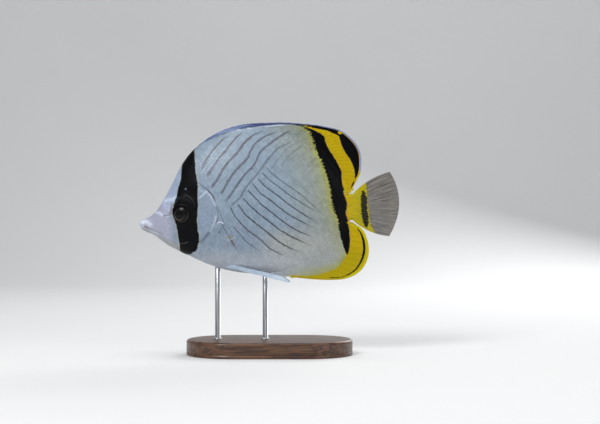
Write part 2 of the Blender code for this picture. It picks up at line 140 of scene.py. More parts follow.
def wire(tree, shader, height=None, bump=0.3, distance=0.0002, **sockets):
    """Links values to the sockets of a shader or of a group's exit, and a height through a Bump node."""
    for key, value in sockets.items():
        tree.links.new(value, shader.inputs[key.replace("_", " ")])
    if height is not None:
        made = add(tree, "Bump", {"Height": height, "Strength": bump, "Distance": distance})
        tree.links.new(made.outputs["Normal"], shader.inputs["Normal"])


def shade(red, green, blue):
    """A colour as seen on a screen, 0 to 255, turned into the linear values that a shader takes."""
    seen = np.array([red, green, blue]) / 255
    return np.where(seen <= 0.04045, seen / 12.92, ((seen + 0.055) / 1.055) ** 2.4)


def tone(red, green, blue):
    """The same for a colour socket, which also wants an alpha."""
    return (*[float(c) for c in shade(red, green, blue)], 1.0)


print("white paper as a shader takes it", [round(c, 3) for c in tone(240, 240, 240)])


# %% Meshes by short calls
def put(name, points, *face_sets, material, slot=None, stands_for=()):
    """A piece from points in metres and arrays of faces, one array for each number of corners."""
    mesh = bpy.data.meshes.new(name)
    corners = np.concatenate([faces.ravel() for faces in face_sets]).astype(np.int32)
    sizes = np.concatenate([np.full(len(faces), faces.shape[1]) for faces in face_sets])
    starts = np.concatenate([[0], np.cumsum(sizes)[:-1]]).astype(np.int32)
    mesh.vertices.add(len(points))
    mesh.vertices.foreach_set("co", np.asarray(points, np.float32).ravel())
    mesh.loops.add(len(corners))
    mesh.loops.foreach_set("vertex_index", corners)
    mesh.polygons.add(len(sizes))
    mesh.polygons.foreach_set("loop_start", starts)
    mesh.update(calc_edges=True)
    mesh.polygons.foreach_set("use_smooth", np.ones(len(sizes), bool))
    mesh.materials.append(material)
    made = bpy.data.objects.new(name, mesh)
    bpy.context.scene.collection.objects.link(made)
    if slot:
        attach(made, "root")
    if stands_for:
        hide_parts(*stands_for)
    print(name, "has", int((sizes - 2).sum()), "triangles")
    return made


def grid_faces(columns, rows, around=False):
    """Four-cornered faces of a grid of points; around joins the last row to the first."""
    index = np.arange(columns * rows).reshape(columns, rows)
    if around:
        index = np.column_stack([index, index[:, :1]])
    return np.stack([index[:-1, :-1], index[1:, :-1], index[1:, 1:], index[:-1, 1:]], -1).reshape(-1, 4)


# %% Floor
paper, tree, shader = new_material("studio_paper", Roughness=0.9)
wire(tree, shader, Base_Color=mix(tree, noise(tree, object_place(tree), 6.0), tone(238, 239, 240),
                                  tone(243, 243, 242)),
     height=noise(tree, object_place(tree), 900.0), bump=0.05)
bend = [(0.75 + 0.5 * math.sin(a), 0.5 - 0.5 * math.cos(a)) for a in np.linspace(0, math.pi / 2, 17)]
sweep = [(-1.6, 0.0), (0.5, 0.0), *bend, (1.25, 2.2)]
floor_points = np.array([(x, y, z) for x in (-2.2, 2.2) for y, z in sweep])
floor = put("studio_floor", floor_points, grid_faces(2, len(sweep))[:, ::-1], material=paper)

# %% Lamps and air
FISH_MIDDLE = (0.0, 0.0, 0.09)


def lamp(name, place, size, power):
    """A round lamp, size metres wide, that faces the fish."""
    data = bpy.data.lights.new(name, "AREA")
    data.shape = "DISK"
    data.size = size
    data.energy = power
    made = bpy.data.objects.new(name, data)
    bpy.context.scene.collection.objects.link(made)
    made.location = place
    made.rotation_euler = (Vector(FISH_MIDDLE) - Vector(place)).to_track_quat("-Z", "Y").to_euler()


lamp("key", (-0.45, -0.75, 0.75), 0.45, 6.0)
lamp("fill", (0.75, -0.65, 0.35), 0.7, 2.2)
lamp("top", (0.05, 0.05, 0.95), 0.6, 2.4)
lamp("rim", (0.45, 0.75, 0.45), 0.6, 3.4)
world = bpy.data.worlds.new("studio_air")
world.use_nodes = True
sky = world.node_tree.nodes["Background"]
sky.inputs["Color"].default_value = (0.93, 0.96, 1.0, 1)
sky.inputs["Strength"].default_value = 0.29
bpy.context.scene.world = world

# %% [markdown]
# ## The body's measurements
# The outline and the cross sections are short lists that a smooth curve joins, the same lists that made the
# solids. A section is closed by one formula: half the width falls from the middle to the ridge as a power
# curve, so one number says whether it is round, as at the belly, or runs out flat into a fin.


# %% Curves
def curve_through(points):
    """A smooth curve through (x, value) pairs in rising x, as a function of x."""
    xs, values = np.array(points, float).T
    slopes = np.gradient(values, xs)

    def at(x):
        x = np.clip(x, xs[0], xs[-1])
        i = np.clip(np.searchsorted(xs, x) - 1, 0, len(xs) - 2)
        width = xs[i + 1] - xs[i]
        t = (x - xs[i]) / width
        rise = values[i + 1] - values[i]
        bend_in, bend_out = slopes[i] * width - rise, rise - slopes[i + 1] * width
        return values[i] + t * rise + t * (1 - t) * ((1 - t) * bend_in + t * bend_out)

    return at


def path_through(points, by_length=True):
    """A smooth path through points, as a function of the share of its length, or else of their number."""
    points = np.array(points, float)
    steps = np.linalg.norm(np.diff(points, axis=0), axis=1) if by_length else np.ones(len(points) - 1)
    share = np.concatenate([[0], np.cumsum(steps)]) / steps.sum()
    axes = [curve_through(np.column_stack([share, column])) for column in points.T]
    return lambda t: np.stack([axis(np.asarray(t, float)) for axis in axes], axis=-1)


def smooth(value):
    """0 below 0, 1 above 1, and a soft rise between."""
    value = np.clip(value, 0, 1)
    return value * value * (3 - 2 * value)


def unit(vectors):
    return vectors / np.linalg.norm(vectors, axis=-1, keepdims=True)


SNOUT_BACK, MOUTH_UP = 75, 76


def to_frame(points):
    """Points (s, y, h) of the fish as (x, y, z) in metres: the snout lies 75 mm ahead of the stand's middle
    and the mouth 76 mm above the table."""
    return (np.reshape(points, (-1, 3)) + (-SNOUT_BACK, 0, MOUTH_UP)) * 0.001


# %% The body's curves
back = curve_through([(0, 0.2), (0.6, 1.2), (2.9, 2.5), (5.8, 3.8), (8.7, 6.3), (11.5, 10.1), (15, 15.9),
                      (19.6, 24.8), (23.7, 33.0), (28.8, 40.2), (34.6, 45.6), (41.5, 49.3), (49.6, 52.6),
                      (58.8, 55.0), (68, 56.1), (76.2, 55.7), (84.2, 53.6), (92.3, 49.6), (99.8, 43.8),
                      (106.7, 36.6), (112.5, 28.8), (117, 21.4), (120.2, 17.2), (123.5, 16.2), (128, 16.4)])
belly = curve_through([(0, -1.3), (0.6, -2.6), (3.5, -5.0), (7.5, -6.6), (11.5, -9.5), (16.2, -12.9),
                       (21.9, -15.9), (28.8, -19.1), (36.3, -22.5), (44.4, -25.6), (53.1, -27.8),
                       (62.3, -29.0), (71.5, -29.2), (80.8, -28.2), (90, -25.7), (98.1, -21.3),
                       (105, -15.6), (111.3, -9.2), (116.5, -3.4), (120.2, 0.8), (123.5, 2.0), (128, 1.8)])
half_width = curve_through([(0, 0.9), (0.8, 1.6), (2.5, 2.2), (5, 2.7), (8, 3.4), (12, 4.9), (16, 6.4),
                            (20, 7.6), (24, 8.6), (30, 9.8), (36, 10.8), (44, 11.6), (53, 11.9), (62, 11.6),
                            (72, 10.8), (84, 9.2), (96, 7.1), (106, 5.2), (114, 3.9), (120, 3.1),
                            (128, 2.2)])
widest = curve_through([(0, 0), (6, 0.2), (12, 1.8), (23, 4.6), (35, 7), (50, 9), (70, 10.4), (100, 10),
                        (118, 9.2), (128, 9.1)])
back_rim = curve_through([(0, 0.3), (10, 0.45), (30, 0.7), (40, 1.0), (90, 1.15), (118, 1.0), (128, 0.8)])
belly_rim = curve_through([(0, 0.3), (10, 0.4), (40, 0.6), (70, 0.7), (84, 1.0), (100, 1.15), (118, 1.0),
                           (128, 0.8)])
back_closing = curve_through([(0, 0.5), (12, 0.55), (30, 0.72), (45, 0.95), (90, 1.15), (114, 1.0),
                              (122, 0.6), (128, 0.55)])
belly_closing = curve_through([(0, 0.5), (20, 0.52), (50, 0.58), (74, 0.72), (90, 1.05), (108, 1.15),
                               (116, 0.9), (122, 0.6), (128, 0.55)])
gill_edge = curve_through([(0, 28.8), (0.10, 32.9), (0.172, 37.5), (0.254, 42.1), (0.327, 45.0),
                           (0.40, 45.7), (0.474, 44.4), (0.542, 42.1), (0.605, 38.9), (0.656, 35.4),
                           (0.72, 33.5), (0.84, 32.4), (1, 32.9)])
tail_root = curve_through([(0, 122.9), (0.2, 125.8), (0.5, 127.2), (0.8, 125.8), (1, 122.6)])

print("body", round(float(back(68) - belly(68))), "mm tall at its highest")

# %% Shape of the body
EYE = np.array((24.3, 5.0))
EYE_RADIUS, EYE_DOME, EYE_SUNK = 4.9, 1.9, 1.6
NOSTRILS = [(14.8, 4.2), (17.8, 5.5)]
MOUTH_FRONT, MOUTH_CORNER = (-0.5, -0.55), (5.5, -3.0)


def gill_share(h):
    """Share of the height of the line where the gill cover ends."""
    return np.clip((h - belly(28.8)) / (back(32.9) - belly(28.8)), 0, 1)


def gill_line(h):
    """How far behind the snout the gill cover ends, at each height."""
    return gill_edge(gill_share(h))


def mouth_line(s):
    share = np.clip((s - MOUTH_FRONT[0]) / (MOUTH_CORNER[0] - MOUTH_FRONT[0]), -0.2, 1.3)
    return MOUTH_FRONT[1] + share * (MOUTH_CORNER[1] - MOUTH_FRONT[1])


def body_half(s, h):
    """Half the thickness of the body at a place of its side view, with the swellings of lips and eye."""
    top, bottom, middle = back(s), belly(s), widest(s)
    above = h >= middle
    span = np.where(above, top - middle, middle - bottom)
    t = np.clip(np.abs(h - middle) / span, 0, 1)
    rim = np.where(above, back_rim(s), belly_rim(s))
    closing = np.where(above, back_closing(s), belly_closing(s))
    section = rim + (half_width(s) - rim) * (1 - t**2) ** closing
    orbit = 1.0 * np.exp(-((np.hypot(s - 25.6, h - 7.2) / 8.2) ** 6))
    past = np.maximum(s - MOUTH_CORNER[0], 0)
    lips = 0.30 * np.exp(-(((np.abs(h - mouth_line(s)) - 0.9) / 0.8) ** 2) - (past / 1.2) ** 2)
    return section + orbit + lips


print("body", round(float(half_width(53) * 2), 1), "mm thick where it is thickest")

# %% [markdown]
# ## Reading the markings off the photo
# The bands and lines were traced, a few points each, in pixels of the photo. They become signed
# distances: above zero inside a band and below zero outside. A distance changes smoothly from point to
# point, so a mesh can carry it, and the material cuts it off at zero in a crisp edge that is much finer than
# the mesh. A painted picture would blur there.

# %% Traced edges
CAMERA_S, CAMERA_H, CAMERA_Y = 92.6, 6.4, 820.0
SNOUT_COLUMN, MOUTH_ROW, PIXEL = 140, 223, 0.579


def traced(points):
    """(s, h) in millimetres from pixels of the photo, each PIXEL wide at the middle of the fish. What lies on
    its side is nearer to the lens and so looks larger, which the last two lines take back."""
    s, h = np.array([((x - SNOUT_COLUMN) * PIXEL, (MOUTH_ROW - y) * PIXEL) for x, y in points]).T
    nearer = 1 - body_half(s, h) / CAMERA_Y
    return np.column_stack([CAMERA_S + (s - CAMERA_S) * nearer, CAMERA_H + (h - CAMERA_H) * nearer])


def upright(points):
    """An edge that runs up the fish, as s for a height h."""
    line = traced(points)
    line = line[np.argsort(line[:, 1])]
    return lambda h: np.interp(h, line[:, 1], line[:, 0])


eye_band_front = upright([(182, 160), (181.5, 170), (180.5, 180), (177.3, 190), (176.5, 197), (175, 200),
                          (173.5, 205), (172.5, 210), (172.8, 215), (174, 218), (175, 221), (177, 230),
                          (178.5, 240), (179.3, 245), (179.8, 252)])
eye_band_rear = upright([(194.2, 150), (194.7, 160), (195.8, 170), (196.8, 180), (198, 186), (197, 197),
                         (198, 205), (197.5, 210), (196.5, 220), (197.5, 230), (198.8, 235), (199, 243),
                         (198, 248), (196.5, 252)])
rear_band_front = upright([(303.5, 125), (305.2, 128.3), (310, 132), (312.4, 138.8), (314.3, 144.6),
                           (316.7, 152.3), (319.6, 158.1), (322.5, 165.8), (324.4, 171.5), (326.8, 177.3),
                           (328.3, 184), (329.7, 189.8), (330.7, 197), (332.1, 206.3), (334, 212),
                           (336.9, 218), (337.9, 225.6), (339.8, 235.2), (341.7, 241), (343.7, 247.7),
                           (345.1, 251.5), (347, 256)])
rear_band_rear = upright([(303.5, 126.3), (307, 127.4), (314.3, 130.2), (319.8, 133), (323.9, 136.2),
                          (325.4, 141.7), (327.3, 146.5), (330.7, 152.3), (335, 159), (338.8, 165.8),
                          (341.3, 171.5), (341.7, 180.2), (342.9, 188.8), (344.3, 195.6), (345.9, 200),
                          (346.7, 205), (346.2, 210.2), (346.4, 216), (347.5, 220.8), (348.5, 226.5),
                          (349.4, 233.3), (349.9, 241), (349.4, 247.7), (348.5, 252.5)])
outer_black_front = upright([(337.5, 131), (338.8, 136), (341.7, 145.6), (345.1, 152.3), (349.9, 159),
                             (352.3, 163.8), (354.2, 169.6), (354.7, 175.4), (353.8, 179.2), (352.5, 186),
                             (349, 194)])
anal_yellow_top = traced([(280, 277), (292.7, 275), (308, 275.6), (317.7, 274.6), (327.3, 271.7),
                          (335, 268.8), (339.8, 265), (343.7, 259.2), (346, 255.4), (349, 250), (353, 240)])
anal_black = traced([(357.1, 227.5), (361, 233.3), (363.4, 240), (364.3, 247.7), (363.8, 252.5),
                     (362.4, 258.3), (360, 263.1), (356.2, 268.9), (352.3, 272.2), (346.5, 275.6),
                     (340.8, 277.5), (333, 277.7), (327.3, 277)])
anal_black_half = np.array([0.3, 0.5, 0.65, 0.68, 0.66, 0.6, 0.52, 0.45, 0.38, 0.3, 0.25, 0.2, 0.1])
print("rear band", round(float(rear_band_rear(10) - rear_band_front(10)), 1), "mm wide at mid height")

# %% Outer edges of the fins
SPINY_EDGE = [(39.5, 49.3), (44, 51.9), (51.9, 55.1), (57.7, 56.7), (63.5, 57.5), (75, 58.1), (84, 58.2),
              (93, 57.6), (102.0, 56.8)]
SOFT_EDGE = [(102.8, 56.7), (109.6, 55.4), (115.4, 53.9), (121.4, 49.8), (125.6, 45.0), (127.8, 39.4),
             (128.1, 34.2), (127.5, 29.1), (125.4, 24.6), (123.4, 20.9), (121.6, 17.8), (120.4, 16.4)]
ANAL_EDGE = [(81.4, -30.1), (86.0, -30.9), (93.5, -31.9), (101, -32.6), (109.6, -32.9), (118.3, -32.3),
             (124, -30.3), (128.7, -26.5), (131.5, -21.3), (132.5, -15.9), (131.6, -9.8), (129.2, -4.3),
             (125.5, -1.0), (121.6, 0.3), (120.0, 1.4)]
REAR_NOTCH = traced([(354.3, 180.3), (353.2, 183.5), (351.7, 187), (350.2, 190.3)])
print("dorsal fin reaches", max(h for _, h in SPINY_EDGE), "mm above the mouth")

# %% Traced lines
FRONT_LINES = [traced(line) for line in (
    [(201.7, 168.5), (204, 164), (207.2, 158.7), (211.7, 151.2), (217.2, 145), (222.8, 139.4), (231.7, 134)],
    [(207, 176), (211, 170), (216, 163), (221, 156), (227, 149), (232, 142), (236, 137), (241, 133),
     (245, 131)],
    [(211, 187.4), (214, 184.4), (218, 178), (222, 171), (226, 165), (231, 159), (235, 155), (239, 151),
     (242, 146), (246, 141), (252, 136), (258, 133), (266, 130)],
    [(221.4, 193.6), (224, 189.6), (228, 181.6), (233, 174), (238, 168), (243, 163), (248, 158),
     (250, 152), (253, 146), (258, 141), (263, 137), (270, 134), (279, 131)],
    [(226.4, 200.6), (231, 194.4), (237, 185.4), (241, 180), (246, 173), (252, 168), (256, 162),
     (258, 156), (261, 151), (266, 146.6), (272.8, 141.4), (279, 136.4), (285, 132.6), (295, 129)],
    [(229.6, 206.6), (233, 204), (241, 197), (244, 190), (249, 183), (254, 178), (259, 171),
     (263, 166), (267, 161), (272, 155), (277, 149), (283, 146), (293, 141)],
    [(272, 168), (276, 162), (280, 157), (284, 151), (291, 146), (301, 141)],
    [(281, 166), (285, 160), (291, 152.6), (301, 146)])]
REAR_LINES = [traced(line) for line in (
    [(276, 166.7), (287, 174.5), (298, 182), (312, 191)],
    [(272.5, 164), (290, 178), (305, 190), (320, 201)],
    [(265.8, 166.7), (270.6, 172.5), (280, 180), (290, 187), (300, 193.7), (327, 218.8)],
    [(261.9, 172.5), (270.6, 181.2), (279.2, 187), (288.8, 194.6), (303, 203.5), (322, 215)],
    [(257.5, 178.5), (265.8, 187), (272.5, 191.7), (279.2, 196.7), (288.8, 204.4), (298.5, 211.2),
     (308, 217), (319.6, 223.7)],
    [(252, 182.7), (260, 192.9), (269.6, 199.6), (279.2, 207.3), (288.8, 214.5), (298.5, 219.8),
     (308, 224.6), (317.7, 228.5)],
    [(247.5, 190), (257.5, 200), (260, 203.5), (269.6, 210.7), (279.2, 218.8), (288.8, 225.6),
     (298.5, 231.3), (308, 235.2), (317.7, 239)],
    [(243, 198), (250.3, 206.2), (260, 214.5), (269.6, 221.7), (279.2, 229.4), (288.8, 235.2),
     (298.5, 240), (312.9, 246.7)],
    [(237.5, 204), (245.8, 215.1), (255.7, 223.2), (269.6, 234.2), (279.2, 241.9), (288.8, 247.7),
     (304, 253.5)],
    [(230, 206), (234, 215), (240.4, 223.2), (247.6, 230.4), (260, 239), (269.6, 248.7),
     (279.2, 253.5), (288.8, 258.3)],
    [(233, 226), (237, 231), (245.8, 241.2), (255.7, 248.3), (265.5, 253.7)])]
FRONT_DARK = np.array([0.85, 0.95, 1.0, 1.0, 0.95, 0.7, 0.36, 0.26])
REAR_DARK = np.array([0.25, 0.45, 0.72, 0.9, 1.0, 1.0, 1.0, 1.0, 1.0, 0.9, 0.62])
print(len(FRONT_LINES), "lines rise over the shoulder and", len(REAR_LINES), "fall towards the tail")


# %% Rows of the lines
def line_rows(lines, angle, usual_gap=5.5, least_gap=1.5):
    """Numbers the lines of one family across the fish: the value is 3 on the fourth line and 3.5 midway to
    the next. It also returns how far along its line each place lies, and where each line starts and ends."""
    turn = np.radians(angle)
    way = np.array((math.cos(turn), math.sin(turn)))
    side = np.array((math.sin(turn), -math.cos(turn)))
    tracks = [(line @ way, line @ side) for line in lines]
    starts, ends = np.array([a[0] for a, _ in tracks]), np.array([a[-1] for a, _ in tracks])

    def at(s, h):
        along, across = s * way[0] + h * way[1], s * side[0] + h * side[1]
        offsets = []
        for a, c in tracks:
            before = (c[1] - c[0]) / (a[1] - a[0]) * np.minimum(along - a[0], 0)
            after = (c[-1] - c[-2]) / (a[-1] - a[-2]) * np.maximum(along - a[-1], 0)
            offsets.append(np.interp(along, a, c) + 0.5 * (before + after))
        row = np.minimum(across - offsets[0], 0) / usual_gap
        for low, high in zip(offsets, offsets[1:]):
            row = row + np.clip((across - low) / np.maximum(high - low, least_gap), 0, 1)
        return row + np.maximum(across - offsets[-1], 0) / usual_gap, along

    return at, starts, ends


front_rows, front_starts, front_ends = line_rows(FRONT_LINES, 52)
rear_rows, rear_starts, rear_ends = line_rows(REAR_LINES, -38)
print("longest line", round(float((front_ends - front_starts).max())), "mm")


# %% Distances at any place of the side view
def least(*values):
    """The smallest of the values, with the corners between them rounded."""
    return -np.log(sum(np.exp(-1.8 * np.clip(v, -60, 60)) for v in values)) / 1.8


def from_line(s, h, line, near=9.0):
    """Distance to a line of points, and the share of its length at the nearest place."""
    best, share = np.full(s.shape, 99.0), np.zeros(s.shape)
    inside = (s > line[:, 0].min() - near) & (s < line[:, 0].max() + near)
    inside &= (h > line[:, 1].min() - near) & (h < line[:, 1].max() + near)
    x, z = s[inside], h[inside]
    found, where = best[inside], share[inside]
    for i in range(len(line) - 1):
        way = line[i + 1] - line[i]
        t = np.clip(((x - line[i, 0]) * way[0] + (z - line[i, 1]) * way[1]) / (way @ way), 0, 1)
        away = np.hypot(x - line[i, 0] - t * way[0], z - line[i, 1] - t * way[1])
        closer = away < found
        found = np.where(closer, away, found)
        where = np.where(closer, i + t, where)
    best[inside], share[inside] = found, where
    return best, share


def from_traced(s, h, points):
    """Distance to a short line that is given in pixels of the photo."""
    return from_line(s, h, traced(points), near=4.0)[0]


def yellow_top(s):
    """Height above which the ground colour is silver and below which the anal fin is yellow."""
    return np.interp(s, *anal_yellow_top.T)


dorsal_tips = path_through(np.concatenate([path_through(SPINY_EDGE)(np.linspace(0, 1, 13)),
                                           path_through(SOFT_EDGE)(np.linspace(0, 1, 23))]), by_length=False)
anal_tips = path_through(path_through(ANAL_EDGE)(np.linspace(0, 1, 22)), by_length=False)
dorsal_margin, anal_margin = dorsal_tips(np.linspace(0, 1, 141)), anal_tips(np.linspace(0, 1, 85))
print("edges of the upright fins hold", len(dorsal_margin) + len(anal_margin), "points")

# %% [markdown]
# ## Ground colour
# Between its lines the fish is a pearly blue-grey, which comes from tiny mirrors in the skin. It is bluer on
# the forehead, whiter at the breast, and turns olive towards the tail. A painted picture could hold all this,
# but its grain would show up close. So the colour is a formula of the place, and each step lays one colour
# over the last with a soft border. Some steps are painted light: a painted highlight on the tip of the lips
# and along the edge of the belly, and painted shade in the nostrils. The list of small marks adds narrow
# strokes on lips, cheek and gill cover, mostly painted highlights and some painted shade in folds: each is a
# short traced line with half its width, its colour and how strongly it covers.

# %% Ground colour
SILVER = shade(200, 208, 228)
CHIN = shade(150, 152, 150)
REAR_LOW = shade(152, 156, 153)
RIM_OLIVE = shade(170, 166, 122)
PEARL = shade(131, 147, 167)
SNOUT = shade(160, 163, 181)
FOREHEAD = shade(154, 170, 200)
FLANK_HIGH = shade(129, 146, 163)
FLANK_LOW = shade(122, 138, 156)
FLANK_REAR = shade(133, 138, 122)
BREAST = shade(166, 173, 182)
OLIVE = shade(146, 148, 66)
NOSTRIL_SHADE = shade(92, 74, 70)
LIP = shade(140, 112, 88)
NAVY = shade(92, 112, 156)


def blend(colour, other, share):
    return colour + (other - colour) * np.clip(share, 0, 1)[..., None]


# %% Painted highlights, painted shade and small marks of the head
# Most of these marks are painted highlights where wet skin would catch the lamps: the rim and lower edge of
# the gill cover, the cheek, the forehead, the streak in front of the eye, the lips, beside the chin fold and
# round the pectoral's first ray. The dark mark in front of the eye and the one along the chin fold are painted
# shade in folds. Only the olive and the brown mark by the pectoral fin are the fish's own colour.
SHEENS_SHADES_AND_MARKS = [
    ([(206, 191), (208.6, 193.2), (211, 196.6), (213.2, 200.6), (215.6, 205.5)], 0.45, (200, 211, 230), 0.65),
    ([(216.2, 216), (215.2, 221), (212.8, 227), (209.6, 231.6)], 0.5, (200, 211, 228), 0.7),
    ([(199, 198), (202, 195.8), (204.8, 193.4), (206.6, 192)], 0.45, (190, 204, 226), 0.7),
    ([(197, 183.5), (196.8, 187), (199.5, 190), (203, 191.4)], 0.45, (176, 192, 218), 0.6),
    ([(165.5, 200.6), (169, 199.8), (172.8, 198.9), (176, 197.8)], 1.1, (202, 216, 240), 0.9),
    ([(175.4, 198.8), (173, 200.9), (170.9, 203.6), (169.5, 207), (168.7, 210.4)], 0.8, (186, 199, 230),
     0.85),
    ([(163, 203.4), (165.2, 206.2), (166.2, 208.6)], 1.2, (180, 194, 226), 0.6),
    ([(171.8, 203), (171.2, 207), (171, 210.6), (171.8, 213.6)], 0.6, (116, 98, 108), 0.7),
    ([(156.4, 212.4), (159.4, 212.9), (162, 214.9)], 0.8, (202, 212, 238), 0.85),
    ([(142.6, 222), (145.2, 221.3), (147.4, 222.2), (150, 224.2)], 1.2, (222, 229, 242), 0.7),
    ([(140.9, 224.4), (142, 225.4), (143.4, 226.4)], 0.4, (222, 228, 240), 0.8),
    ([(150.6, 229), (153.6, 230.2), (157.4, 231.9), (162, 234.2)], 0.45, (120, 122, 126), 0.6),
    ([(151, 230.8), (154, 232), (157.6, 233.6)], 0.6, (184, 188, 196), 0.6),
    ([(226.8, 237.4), (228.6, 236.6), (230.6, 236.9), (231.6, 238)], 0.6, (148, 138, 84), 0.8),
    ([(227.4, 239.8), (229.6, 240.2), (231.8, 239.3)], 0.36, (200, 210, 225), 0.65),
    ([(232.4, 238.8), (233.9, 237.9), (235.4, 237.3)], 0.3, (196, 206, 222), 0.45),
    ([(231.6, 240.4), (232.6, 242.4), (234, 244.8)], 0.5, (84, 64, 54), 0.95)]


# %% The ground colour at any place
def tint_of(s, h):
    """The soft ground colour of the fish with its painted highlights and painted shade, before lines and
    bands.
    """
    high = smooth((h + 12) / 34)
    colour = blend(np.broadcast_to(FLANK_LOW, s.shape + (3,)), FLANK_HIGH, high)
    before_band = rear_band_front(h) - s
    colour = blend(colour, FLANK_REAR, 0.85 * smooth(1 - before_band / 34) * smooth((h + 24) / 16))
    colour = blend(colour, REAR_LOW, 0.9 * smooth((s - 62) / 22) * smooth((2 - h) / 14))
    colour = blend(colour, OLIVE, 0.36 * smooth(1 - before_band / 10) * smooth((h + 26) / 10))
    colour = blend(colour, OLIVE, 0.85 * smooth(1 - before_band / 3.4) * smooth((h + 8) / 14))
    below = yellow_top(s) - h
    colour = blend(colour, OLIVE, 0.75 * smooth(1 + below / 7) * smooth((s - 76) / 22))
    colour = blend(colour, BREAST, 0.8 * smooth((-h - 11) / 13) * smooth((108 - s) / 34))
    colour = blend(colour, PEARL, 0.6 * smooth((gill_line(h) + 2 - s) / 5) * smooth((h + 16) / 6))
    colour = blend(colour, SNOUT, smooth((22 - s) / 7))
    colour = blend(colour, FOREHEAD, 0.8 * smooth((h - 7) / 9) * smooth((30 - s) / 6))
    colour = blend(colour, CHIN, 0.8 * smooth((-1.2 - 0.43 * s - h) / 2.5) * smooth((32 - s) / 6))
    # Painted highlights: silver over the tip of the lips, and below along the edge of the belly.
    colour = blend(colour, SILVER, 0.7 * smooth((4.2 - s) / 4) * smooth((h + 2.5) / 1.5))
    underside = smooth(1 - (h - belly(s)) / 1.1) * smooth((s - 6) / 6) * smooth((64 - s) / 12)
    colour = blend(colour, SILVER, 0.45 * underside)
    beside = np.maximum(eye_band_front(h) - s, s - eye_band_rear(h))
    colour = blend(colour, RIM_OLIVE, 0.4 * smooth(1 - np.abs(beside) / 1.1) * smooth((h + 16) / 5))
    groove = np.exp(-(((h - mouth_line(s) + 0.2) / 0.55) ** 2))
    colour = blend(colour, LIP, 0.5 * groove * smooth((6.8 - s) / 2) * smooth((s - 0.6) / 1.5))
    nape = smooth(1 - (back(s) - h) / 1.5) * smooth((s - 30.5) / 2) * smooth((43 - s) / 4)
    colour = blend(colour, NAVY, 0.6 * nape)
    # Painted shade in the two nostril pits.
    for spot_s, spot_h in NOSTRILS:
        colour = blend(colour, NOSTRIL_SHADE, 0.7 * np.exp(-((np.hypot(s - spot_s, h - spot_h) / 0.42) ** 4)))
    # The painted highlights, painted shade and small marks from the list, laid over the ground colour.
    for points, half, mark_colour, strength in SHEENS_SHADES_AND_MARKS:
        away = from_traced(s, h, points)
        colour = blend(colour, shade(*mark_colour), strength * np.exp(-((away / half) ** 2)))
    return colour


print("pearl ground colour", [round(float(c), 2) for c in PEARL], "with", len(SHEENS_SHADES_AND_MARKS), "small marks")

# %% Seam and strip of the dorsal fin
STRIP_PLACES, STRIP_WIDTHS = [33, 38, 48, 58, 68, 79, 88], [0.9, 1.5, 1.5, 2.2, 2.0, 1.3, 0.9]


def strip_width(s):
    """Width of the blue strip along the edge of the spiny part."""
    return np.interp(s, STRIP_PLACES, STRIP_WIDTHS)


def seam_width(s, h):
    """Width of the pale seam along the edge of the soft part."""
    wide = np.interp(s, [88, 104, 112, 118, 124], [0.4, 0.45, 0.5, 0.65, 0.85])
    return 0.6 + (wide - 0.6) * smooth((h - 27) / 3)


print("strip", strip_width(58), "mm wide, seam", round(float(seam_width(112, 50)), 2), "mm")


# %% Markings at any place
def line_depth(rows, along, depths, starts, ends, lead, rise, fade):
    """How dark the lines of one family are: each has its own depth, rises over its first millimetres and
    fades over its last."""
    numbers = np.arange(len(depths))
    depth = np.interp(rows, numbers, depths)
    depth *= smooth((along - np.interp(rows, numbers, starts) + lead) / rise)
    depth *= smooth((np.interp(rows, numbers, ends) - along + 1) / fade)
    return depth * (smooth((rows + 0.4) / 0.2) * smooth((len(depths) - 0.55 - rows) / 0.2))


